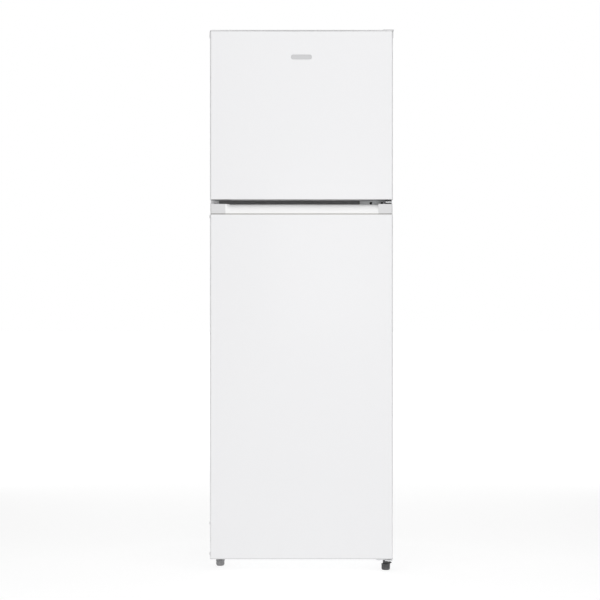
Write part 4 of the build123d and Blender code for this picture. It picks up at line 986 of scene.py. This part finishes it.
@dataclass
class Stage:
    """The camera, the pale floor and the soft light."""

    eye: Point = (-4.3, -4294.0, 812.0)
    lens: float = 80.6
    sensor: float = 36.0
    floor_size: float = 60000.0
    sky: float = 1.0
    floor_glow: float = 0.8
    lamp_size: float = 1100.0
    top_power: float = 5.0
    right_power: float = 4.5
    level_power: float = 3.0
    card_tone: float = 0.1
    card_side: float = 1500.0
    card_height: float = 3000.0
    card_front: float = -900.0
    ceiling_front: float = -320.0
    card_back: float = 1500.0

    def build(self) -> None:
        """Set the camera, the floor, the sky and the lamps."""
        self.camera()
        self.floor()
        self.world()
        self.lamp("top_light", (600.0, -4200.0, 3300.0), self.top_power)
        self.lamp("right_light", (2300.0, -2400.0, 1900.0), self.right_power)
        self.lamp("level_light", (300.0, -4400.0, 1105.0), self.level_power)
        self.cards()

    def camera(self) -> None:
        """A level camera in front of the doors."""
        data = bpy.data.cameras.new("camera")
        data.lens = self.lens
        data.sensor_width = self.sensor
        camera = bpy.data.objects.new("camera", data)
        camera.location = Vector(self.eye) * MM
        camera.rotation_euler = (math.pi / 2, 0, 0)
        bpy.context.scene.collection.objects.link(camera)
        bpy.context.scene.camera = camera

    def floor(self) -> None:
        """A pale floor far wider than the view."""
        shape = bmesh.new()
        bmesh.ops.create_grid(shape, x_segments=1, y_segments=1, size=self.floor_size * MM / 2)
        floor = piece_from("floor", shape)
        paper = Finish("pale_floor", (0.3, 0.3, 0.3), 0.85, specular=0.0).build()
        shader = paper.node_tree.nodes["Principled BSDF"]
        shader.inputs["Emission Color"].default_value = (1, 1, 1, 1)
        shader.inputs["Emission Strength"].default_value = self.floor_glow
        floor.data.materials.append(paper)

    def cards(self) -> None:
        """Dark cards above and at both sides, out of view, that draw the refrigerator's outline."""
        side, height, front, back = self.card_side, self.card_height, self.card_front, self.card_back
        thin = 10.0
        cards = block_piece("dark_cards", [
            ((-side - thin, front, 0.0), (-side, back, height)),
            ((side, front, 0.0), (side + thin, back, height)),
            ((-side, self.ceiling_front, height), (side, back, height + thin))])
        tone = (self.card_tone,) * 3
        cards.data.materials.append(Finish("dark_card", tone, 0.9, specular=0.0).build())
        cards.visible_camera = False

    def world(self) -> None:
        """An even white sky, shown with no film curve."""
        world = bpy.data.worlds.new("soft_sky")
        world.use_nodes = True
        sky = world.node_tree.nodes["Background"]
        sky.inputs["Color"].default_value = (1, 1, 1, 1)
        sky.inputs["Strength"].default_value = self.sky
        bpy.context.scene.world = world
        bpy.context.scene.view_settings.view_transform = "Standard"

    def lamp(self, name: str, place: Point, power: float) -> None:
        """A large soft lamp that faces the middle of the refrigerator.

        Args:
            name: the lamp's name.
            place: where it stands, in millimetres.
            power: its power in watts.
        """
        data = bpy.data.lights.new(name, "AREA")
        data.energy = power
        data.size = self.lamp_size * MM
        lamp = bpy.data.objects.new(name, data)
        lamp.location = Vector(place) * MM
        aim = Vector((0, 0, 0.85)) - lamp.location
        lamp.rotation_euler = aim.to_track_quat("-Z", "Y").to_euler()
        bpy.context.scene.collection.objects.link(lamp)


@dataclass
class Doors:
    """Both doors: skins, caps, linings, seals, bins, the badge and the edge plugs."""

    shop: Workshop
    edges: Dict[str, float] = field(default_factory=lambda: {
        "freezer_door_skin": 0.3, "freezer_door_liner": 1.2, "freezer_door_foam": 0.5,
        "freezer_door_top_cap": 0.9, "freezer_door_bottom_cap": 0.6,
        "badge": 0.35, "fridge_door_skin": 0.3, "fridge_door_liner": 1.2, "fridge_door_foam": 0.5,
        "fridge_door_bottom_cap": 0.6, "door_edge_plugs": 0.3})
    corner: float = 5.0
    groove_height: float = 2.4
    groove_depth: float = 9.0
    left_block: float = 45.0
    left_blend: float = 16.0
    right_block: float = 42.0
    right_blend: float = 1.2
    lean_depth: float = 20.0
    lean_foot: float = 3.0
    corner_steps: int = 8
    left_steps: int = 12
    right_steps: int = 4
    middle_steps: int = 4
    rise_steps: int = 14
    middle_pitch: float = 40.0
    block_margin: float = 6.0
    groove_edge: float = 0.01
    face_start: float = 0.6
    cap_bevel: float = 0.5
    seal_lip: float = 1.4
    seal_bevel: float = 0.35
    # A lighter copy of the cap plastic: painted light, standing in for the light from above that the cap's
    # leaning middle catches.
    painted_lit_grip_face: Finish = Finish("grip_plastic_painted_lit", (0.87, 0.87, 0.87), 0.3, 0.03, 0.006, 1800.0, 0.000003,
                               coat=0.3)
    bin_height: float = 75.0
    bin_wall: float = 2.5
    bin_corner: float = 12.0
    rib_pitch: float = 24.0
    rib_width: float = 2.2
    rib_depth: float = 0.9
    rib_setback: float = 1.0
    rib_clear: float = 20.0
    rib_bevel: float = 0.3

    def build(self) -> None:
        """Make every door piece."""
        self.shop.soften_all(self.edges)
        self.grip_cap()
        self.seal("freezer_door_gasket", Body.FREEZER_DOOR)
        self.seal("fridge_door_gasket", Body.FRIDGE_DOOR)
        self.bins("freezer_door_bins", Body.FREEZER_DOOR, 2)
        self.bins("fridge_door_bins", Body.FRIDGE_DOOR, 3)
        self.bins("bottle_bin", Body.FRIDGE_DOOR, 1)

    def grip_front(self, x: float, z: float, half: float, low: float, high: float) -> float:
        """How far behind the cap's front face the surface stands at one place.

        Args:
            x: the place across the door.
            z: the place in height.
            half: half of the cap's width.
            low: the cap's foot.
            high: the cap's top.

        Returns:
            The distance in millimetres.
        """
        edge = abs(x) - (half - self.corner)
        back = self.corner - math.sqrt(max(self.corner ** 2 - edge ** 2, 0.0)) if edge > 0 else 0.0
        if z < low + self.groove_height:
            back += self.groove_depth
        rise = high - low - self.lean_foot
        bend = (self.lean_depth ** 2 + rise ** 2) / (2 * self.lean_depth)
        above = max(z - low - self.lean_foot, 0.0)
        lean = bend - math.sqrt(bend ** 2 - above ** 2)
        from_left = (x + half - self.left_block) / self.left_blend
        from_right = (half - self.right_block - x) / self.right_blend
        share = min(max(min(from_left, from_right), 0.0), 1.0)
        return back + lean * share * share * (3 - 2 * share)

    def grip_cap(self) -> None:
        """The fridge door's top cap: it leans back between its end blocks, over a shadow groove, and its
        leaning middle takes a lighter copy of the cap plastic as painted light from above.
        """
        low, high = node_box("fridge_door_top_cap")
        half = high.x
        round_steps = range(self.corner_steps + 1)
        columns = [-half + step * self.corner / self.corner_steps for step in round_steps]
        columns += [-half + self.left_block - self.block_margin]
        columns += [-half + self.left_block + step * self.left_blend / self.left_steps
                    for step in range(self.left_steps + 1)]
        columns += [step * self.middle_pitch for step in range(-self.middle_steps, self.middle_steps + 1)]
        columns += [half - self.right_block - self.right_blend + step * self.right_blend / self.right_steps
                    for step in range(self.right_steps + 1)]
        columns += [half - self.corner + step * self.corner / self.corner_steps for step in round_steps]
        top = high.z
        foot = low.z + self.groove_height
        edge, start = self.groove_edge, foot + self.face_start
        rows = [low.z, foot - edge, foot + edge, start]
        rows += [start + step * (top - foot - self.face_start) / self.rise_steps
                 for step in range(1, self.rise_steps + 1)]
        shape = bmesh.new()
        fronts = [[shape.verts.new((x * MM, (low.y + self.grip_front(x, z, half, low.z, top)) * MM, z * MM))
                   for x in columns] for z in rows]
        backs = [[shape.verts.new((x * MM, high.y * MM, z * MM)) for x in columns] for z in rows]
        for below, above in zip(range(len(rows) - 1), range(1, len(rows))):
            for left, right in zip(range(len(columns) - 1), range(1, len(columns))):
                shape.faces.new([fronts[below][left], fronts[below][right],
                                 fronts[above][right], fronts[above][left]])
                shape.faces.new([backs[below][right], backs[below][left],
                                 backs[above][left], backs[above][right]])
            for end in (0, -1):
                shape.faces.new([fronts[below][end], fronts[above][end],
                                 backs[above][end], backs[below][end]])
        for row in (0, -1):
            for left, right in zip(range(len(columns) - 1), range(1, len(columns))):
                shape.faces.new([fronts[row][left], fronts[row][right], backs[row][right], backs[row][left]])
        cap = piece_from("fridge_door_grip_cap", shape)
        bevelled(cap, self.cap_bevel)
        self.shop.finish(cap, "cap_plastic", Body.FRIDGE_DOOR, "fridge_door_top_cap")
        # The leaning middle between the end blocks takes the lighter copy: painted light from above.
        cap.data.materials.append(self.painted_lit_grip_face.build())
        left = (-half + self.left_block) * MM
        right = (half - self.right_block) * MM
        for face in cap.data.polygons:
            if left < face.center.x < right and face.center.y < (low.y + self.lean_depth + 2) * MM:
                face.material_index = 1

    def seal(self, node: str, body: Body) -> None:
        """A door seal with its magnet bead, its bellows and its fixing dart.

        Args:
            node: the frame node.
            body: the body that it rides on.
        """
        low, high = node_box(node)
        depth = high.y - low.y
        back = low.y
        lip = self.seal_lip
        section = [(0, back), (0, back + 0.8), (2.5, back + 1.2), (1.2, back + depth - lip - 1.2),
                   (0.2, back + depth - lip), (0.6, back + depth), (9.5, back + depth),
                   (10.3, back + depth - 1.0), (10.0, back + depth - 2.6), (12.5, back + depth - 3.6),
                   (11.0, back + 2.4), (14.0, back + 1.6), (17.6, back + 0.9), (18, back)]
        shape = bmesh.new()
        add_frame(shape, section, high.x, low.z, high.z)
        seal = bevelled(piece_from(node + "_finished", shape), self.seal_bevel)
        self.shop.finish(seal, "door_seal", body, node)

    def bins(self, node: str, body: Body, count: int) -> None:
        """The door bins of one node, each a rounded tub with upright ribs across its front.

        Args:
            node: the frame node.
            body: the body that they ride on.
            count: how many bins the node holds.
        """
        low, high = node_box(node)
        height = self.bin_height if count > 1 else high.z - low.z
        step = (high.z - low.z - height) / max(count - 1, 1)
        shape = bmesh.new()
        points = []
        columns = int((high.x - self.bin_corner) // self.rib_pitch)
        for level in range(count):
            base = low.z + level * step
            add_tub(shape, Vector((low.x, low.y, base)), Vector((high.x, high.y, base + height)),
                    self.bin_wall, self.bin_corner)
            points += [(column * self.rib_pitch, high.y - self.rib_setback, base + height / 2 - 1)
                       for column in range(-columns, columns + 1)]
        tubs = smoothed(piece_from(node + "_tubs", shape), 50)
        size = (self.rib_width * MM, self.rib_depth * MM, (height - self.rib_clear) * MM)
        ribs = self.shop.rows.grow(node + "_ribs", points_mesh("rib_points", points),
                                   {"Bar Size": size, "Bar Turn": (0, 0, 0),
                                    "Material": self.shop.paints.get("clear_plastic")})
        bevelled(ribs, self.rib_bevel, 1)
        self.shop.finish(merged(node + "_finished", [tubs, ribs]), "clear_plastic", body, node)


@dataclass
class CabinetCase:
    """The steel case, its rear panel, its lid and the strip between the doors."""

    shop: Workshop
    edges: Dict[str, float] = field(default_factory=lambda: {
        "cabinet_shell": 0.35, "cabinet_foam": 0.5, "base_pan": 0.4, "top_cover": 1.2, "hinge_cover": 1.0,
        "hinge_hole_plug": 0.4})
    bead_count: int = 5
    bead_width: float = 16.0
    bead_rise: float = 2.4
    bead_share: float = 0.86
    sheet_bevel: float = 0.3
    strip_groove: float = 1.2
    strip_groove_depth: float = 0.7
    strip_bevel: float = 0.25

    def build(self) -> None:
        """Make the case's pieces."""
        self.shop.soften_all(self.edges)
        self.rear_panel()
        self.strip()

    def rear_panel(self) -> None:
        """The rear sheet with its upright stiffening beads."""
        low, high = node_box("back_panel")
        sheet = block_piece("sheet", [(tuple(low), tuple(high))])
        pitch = (high.x - low.x) / self.bead_count
        height = (high.z - low.z) * self.bead_share
        middle = (low.z + high.z) / 2
        points = [(low.x + (index + 0.5) * pitch, high.y, middle) for index in range(self.bead_count)]
        size = (self.bead_width * MM, 2 * self.bead_rise * MM, height * MM)
        beads = self.shop.rows.grow("beads", points_mesh("bead_points", points),
                                    {"Bar Size": size, "Bar Turn": (0, 0, 0),
                                     "Material": self.shop.paints.get("zinc_steel")})
        bevelled(beads, self.bead_rise * 0.95, 4)
        bevelled(sheet, self.sheet_bevel, 1)
        self.shop.finish(merged("back_panel_finished", [sheet, beads]), "zinc_steel", Body.CABINET,
                         "back_panel")

    def strip(self) -> None:
        """The dark strip between the doors, with its two long grooves; its dark grey is partly the strip's
        own colour and partly painted shade of the gap.
        """
        low, high = node_box("mullion_trim")
        groove = self.strip_groove
        bottom = low.y + self.strip_groove_depth
        third = (high.z - low.z) / 3
        outline = [(high.y, low.z), (low.y, low.z)]
        for level in (low.z + third, low.z + 2 * third):
            outline += [(low.y, level - groove / 2), (bottom, level - groove / 2),
                        (bottom, level + groove / 2), (low.y, level + groove / 2)]
        outline += [(low.y, high.z), (high.y, high.z)]
        shape = bmesh.new()
        add_bar(shape, outline, low.x, high.x)
        strip = bevelled(piece_from("mullion_trim_finished", shape), self.strip_bevel)
        self.shop.finish(strip, "dark_trim", Body.CABINET, "mullion_trim")


@dataclass
class Hardware:
    """Hinges, washers, screws and the clip under the lower pin."""

    shop: Workshop
    edges: Dict[str, float] = field(default_factory=lambda: {
        "middle_hinge": 0.45, "bottom_hinge": 0.5, "hinge_washers": 0.5})
    top_bevel: float = 0.5
    pin_reach: float = 8.0
    pin_share: float = 0.94
    head: float = 4.0
    head_height: float = 2.4
    slot_half: float = 2.1
    slot_width: float = 0.85
    slot_depth: float = 1.5
    spin_by_size: float = 0.1
    spin_by_place: float = 0.7
    clip_radius: float = 1.5
    clip_bend: float = 7.0
    clip_rise: float = 1.5
    clip_step: float = math.pi / 10

    def build(self) -> None:
        """Make the hardware."""
        self.shop.soften_all(self.edges)
        self.top_hinge()
        self.screws()
        self.clip()

    def top_hinge(self) -> None:
        """The top hinge, its pin a little slimmer than the bore that it stands in."""
        hinge = softened("top_hinge", self.top_bevel)
        washers, washer_high = node_box("hinge_washers")
        _, cap_top = node_box("freezer_door_top_cap")
        x, y = (washers.x + washer_high.x) / 2 * MM, (washers.y + washer_high.y) / 2 * MM
        for vertex in hinge.data.vertices:
            out = Vector((vertex.co.x - x, vertex.co.y - y))
            if vertex.co.z < cap_top.z * MM and out.length < self.pin_reach * MM:
                vertex.co.x = x + out.x * self.pin_share
                vertex.co.y = y + out.y * self.pin_share
        self.shop.finish(hinge, "zinc_steel", Body.CABINET, "top_hinge")

    def screw(self) -> bpy.types.Object:
        """One pan-head screw, standing on its surface, with a cross recess."""
        shape = bmesh.new()
        top = self.head_height
        add_lathe(shape, [(0, -3), (2, -3), (2, 0), (self.head - 0.1, 0), (self.head, 0.5),
                          (self.head * 0.94, top * 0.6), (self.head * 0.72, top * 0.92),
                          (self.head * 0.4, top), (0, top)], (0, 0, 0), segments=32)
        screw = piece_from("screw_pattern", shape)
        recess = block_piece("recess", [((-self.slot_half, -self.slot_width / 2, top - self.slot_depth),
                                         (self.slot_half, self.slot_width / 2, top + 1)),
                                        ((-self.slot_width / 2, -self.slot_half, top - self.slot_depth),
                                         (self.slot_width / 2, self.slot_half, top + 1))])
        cutter = screw.modifiers.new("recess", "BOOLEAN")
        cutter.object = recess
        cutter.operation = "DIFFERENCE"
        cutter.use_self = True
        applied(screw)
        bpy.data.objects.remove(recess)
        return smoothed(screw, 40)

    def screws(self) -> None:
        """Every pan-head screw, where the frame's screws stand."""
        heads = self.heads()
        pattern = self.screw()
        mesh = points_mesh("screw_points", [place for place, _ in heads], [turn for _, turn in heads])
        screws = self.shop.scatter.grow("panel_screws_finished", mesh,
                                        {"Part": pattern, "Scale": 1.0,
                                         "Material": self.shop.paints.get("screw_black")})
        bpy.data.objects.remove(pattern)
        smoothed(screws, 40)
        self.shop.finish(screws, "screw_black", Body.CABINET, "panel_screws")

    def heads(self) -> List[Tuple[Point, Point]]:
        """Where each screw's head stands and how it is turned, read from the frame's loose shells."""
        shape = bmesh.new()
        shape.from_mesh(frame["nodes"]["panel_screws"].data)
        bmesh.ops.remove_doubles(shape, verts=shape.verts, dist=SAME_POINT * MM)
        shape.verts.ensure_lookup_table()
        seen = set()
        heads = []
        for start in shape.verts:
            if start in seen:
                continue
            stack, shell = [start], []
            seen.add(start)
            while stack:
                here = stack.pop()
                shell.append(here.co / MM)
                for edge in here.link_edges:
                    other = edge.other_vert(here)
                    if other not in seen:
                        seen.add(other)
                        stack.append(other)
            heads.append(self.head_of(shell))
        shape.free()
        return heads

    def head_of(self, shell: List[Vector]) -> Tuple[Point, Point]:
        """The head's seat and turn from one screw's points.

        Args:
            shell: the screw's points in millimetres.

        Returns:
            The seat in millimetres and the turn in radians.
        """
        low = Vector([min(point[axis] for point in shell) for axis in range(3)])
        high = Vector([max(point[axis] for point in shell) for axis in range(3)])
        middle = (low + high) / 2
        spin = len(shell) * self.spin_by_size + middle.x * self.spin_by_place
        if high.z - low.z > high.y - low.y:
            return (middle.x, middle.y, high.z - self.head_height), (0, 0, spin)
        if middle.y < 0:
            return (middle.x, low.y + self.head_height, middle.z), (math.pi / 2, spin, 0)
        return (middle.x, high.y - self.head_height, middle.z), (-math.pi / 2, spin, 0)

    def clip(self) -> None:
        """The small black clip on the lower pin's tail."""
        low, _ = node_box("bottom_hinge")
        pin_low, pin_high = node_box("hinge_washers")
        x = (pin_low.x + pin_high.x) / 2
        y = (pin_low.y + pin_high.y) / 2
        z = low.z + self.clip_rise
        path = [(x + self.clip_bend * math.cos(step * self.clip_step),
                 y + self.clip_bend * math.sin(step * self.clip_step) - 1, z) for step in range(11, 26)]
        path += [(x + 2, y - 8.5, z - 1.5), (x - 3, y - 9.0, z - 3.0)]
        shape = bmesh.new()
        add_wire(shape, path, self.clip_radius)
        clip = smoothed(piece_from("lower_pin_clip", shape), 50)
        self.shop.finish(clip, "black_plastic", Body.CABINET)


@dataclass
class Feet:
    """The levelling feet and the rear rollers."""

    shop: Workshop
    edges: Dict[str, float] = field(default_factory=lambda: {"left_roller": 0.4, "right_roller": 0.4})
    rib_count: int = 18
    rib_width: float = 1.9
    rib_depth: float = 1.5
    rib_bevel: float = 0.5
    knob_top: float = 18.0
    left_taper: float = 2.6
    right_taper: float = 1.2
    stem_radius: float = 5.0
    neck_radius: float = 8.2
    neck_ribs: int = 10

    def build(self) -> None:
        """Make the feet and rollers."""
        self.shop.soften_all(self.edges)
        self.foot("left_foot", Body.LEFT_FOOT, self.left_taper, self.stem_radius)
        self.foot("right_foot", Body.RIGHT_FOOT, self.right_taper, self.neck_radius)

    def foot(self, node: str, body: Body, taper: float, neck: float) -> None:
        """A turned knob with upright ribs round it, its neck and its stem.

        Args:
            node: the frame node.
            body: the body that it rides on.
            taper: how much narrower it is at the floor.
            neck: the radius above the knob.
        """
        low, high = node_box(node)
        x, y = (low.x + high.x) / 2, (low.y + high.y) / 2
        radius = (high.x - low.x) / 2 - 0.4
        top = self.knob_top
        foot_radius = radius - taper
        stem = self.stem_radius
        profile = [(0, 0), (foot_radius - 2.2, 0), (foot_radius - 0.8, 0.5), (foot_radius - 0.2, 1.6),
                   (foot_radius + taper * 0.3, 6), (radius - 1.1, top - 4), (radius - 0.9, top - 2.6),
                   (radius, top - 2.2), (radius, top - 0.8), (radius - 0.9, top), (neck + 0.8, top),
                   (neck, top + 0.8), (neck, high.z - 3), (stem, high.z - 2.6), (stem, high.z - 0.6),
                   (4.4, high.z), (0, high.z)]
        shape = bmesh.new()
        add_lathe(shape, profile, (x, y, 0), segments=72)
        knob = smoothed(piece_from("knob_form", shape), 35)
        grey = self.shop.paints.get(self.shop.paints.slot_of[node])
        parts = [knob]
        rings = [(self.rib_count, radius - 1.3 - taper * 0.2, top * 0.5, top - 6.5)]
        if neck > 6:
            rings.append((self.neck_ribs, neck - 0.1, (top + high.z - 2) / 2, high.z - 4 - top))
        for count, ring_radius, middle, height in rings:
            ribs = self.shop.ring.grow("ribs", bpy.data.meshes.new("rib_base"),
                                       {"Count": count, "Radius": ring_radius * MM,
                                        "Bar Size": (self.rib_depth * MM, self.rib_width * MM, height * MM),
                                        "Centre": (x * MM, y * MM, middle * MM), "Material": grey})
            parts.append(bevelled(ribs, self.rib_bevel))
        self.shop.finish(merged(node + "_finished", parts), self.shop.paints.slot_of[node], body, node)


@dataclass
class FreezerInside:
    """The freezer's lining, rear cover, shelf, cooling parts and ice maker."""

    shop: Workshop
    edges: Dict[str, float] = field(default_factory=lambda: {
        "freezer_liner": 1.2, "evaporator_cover": 0.5, "evaporator": 0.15, "fan_motor": 0.6,
        "fan_impeller": 0.4, "freezer_shelf": 0.8, "ice_tray_frame": 0.6, "ice_tray": 0.6, "ice_bin": 0.7})

    def build(self) -> None:
        """Make the freezer's inside."""
        self.shop.soften_all(self.edges)


@dataclass
class FridgeInside:
    """The fridge's lining, shelves, drawer, duct, thermostat and lamp."""

    shop: Workshop
    edges: Dict[str, float] = field(default_factory=lambda: {
        "fridge_liner": 1.2, "air_duct": 0.8, "control_box": 1.0, "thermostat_knob": 0.6,
        "lamp_cover": 1.2, "lamp_switch_plunger": 0.7, "glass_shelves": 0.5, "shelf_trims": 1.0,
        "crisper_drawer": 1.0})
    tick_count: int = 9
    tick_radius: float = 18.0
    tick_length: float = 2.6
    tick_start: float = -40.0
    tick_sweep: float = 260.0
    tick_rise: float = 0.4
    tick_root: float = 0.3
    tick_half_width: float = 0.5
    tick_bevel: float = 0.12

    def build(self) -> None:
        """Make the fridge's inside."""
        self.shop.soften_all(self.edges)
        self.dial_ticks()

    def dial_ticks(self) -> None:
        """The raised ticks round the temperature knob."""
        low, high = node_box("thermostat_knob")
        face, _ = node_box("control_box")
        x, z = (low.x + high.x) / 2, (low.z + high.z) / 2
        shape = bmesh.new()
        for index in range(self.tick_count):
            angle = math.radians(self.tick_start + index * self.tick_sweep / (self.tick_count - 1))
            place = Matrix.Translation(Vector((x, face.y, z)) * MM) @ Matrix.Rotation(-angle, 4, "Y")
            verts = add_block(shape, (self.tick_radius, -self.tick_rise, -self.tick_half_width),
                              (self.tick_radius + self.tick_length, self.tick_root, self.tick_half_width))
            bmesh.ops.transform(shape, matrix=place, verts=verts)
        piece = bevelled(piece_from("dial_ticks", shape), self.tick_bevel, 1)
        self.shop.finish(piece, "black_plastic", Body.CABINET)


@dataclass
class CompressorBay:
    """The compressor compartment behind its louvred cover."""

    shop: Workshop
    edges: Dict[str, float] = field(default_factory=lambda: {
        "compressor": 1.2, "compressor_base": 0.4, "compressor_grommets": 1.2, "relay_cover": 1.5,
        "drip_tray": 0.9, "refrigerant_tubes": 0.2, "compressor_cover": 0.25, "cord_inlet": 0.8})
    hood_width: float = 130.0
    hood_pitch: float = 16.0
    hood_rows: int = 9
    column_pitch: float = 150.0
    first_row: float = 55.0
    hood_above_row: float = 7.4
    hood_height: float = 8.0
    hood_sheet: float = 1.0
    hood_setback: float = 0.9
    hood_lean: float = 24.0
    hood_bevel: float = 0.4

    def build(self) -> None:
        """Make the compartment's pieces."""
        self.shop.soften_all(self.edges)
        self.hoods()

    def hoods(self) -> None:
        """The pressed hoods over the rear cover's louvres."""
        low, high = node_box("compressor_cover")
        base = low.z + self.first_row
        points = [(column * self.column_pitch, high.y + self.hood_setback,
                   base + row * self.hood_pitch + self.hood_above_row)
                  for row in range(self.hood_rows) for column in (-1, 0, 1)]
        size = (self.hood_width * MM, self.hood_sheet * MM, self.hood_height * MM)
        hoods = self.shop.rows.grow("cover_louvres", points_mesh("hood_points", points),
                                    {"Bar Size": size, "Bar Turn": (math.radians(self.hood_lean), 0, 0),
                                     "Material": self.shop.paints.get("zinc_steel")})
        bevelled(hoods, self.hood_bevel)
        self.shop.finish(hoods, "zinc_steel", Body.CABINET)


def main() -> None:
    """Build every sub-assembly in order."""
    logging.basicConfig(level=logging.INFO, format="%(message)s")
    Stage().build()
    shop = Workshop()
    for part in (Doors(shop), CabinetCase(shop), Hardware(shop), Feet(shop), FreezerInside(shop),
                 FridgeInside(shop), CompressorBay(shop)):
        log.info("-- %s", type(part).__name__)
        part.build()


if __name__ == "__main__":
    main()
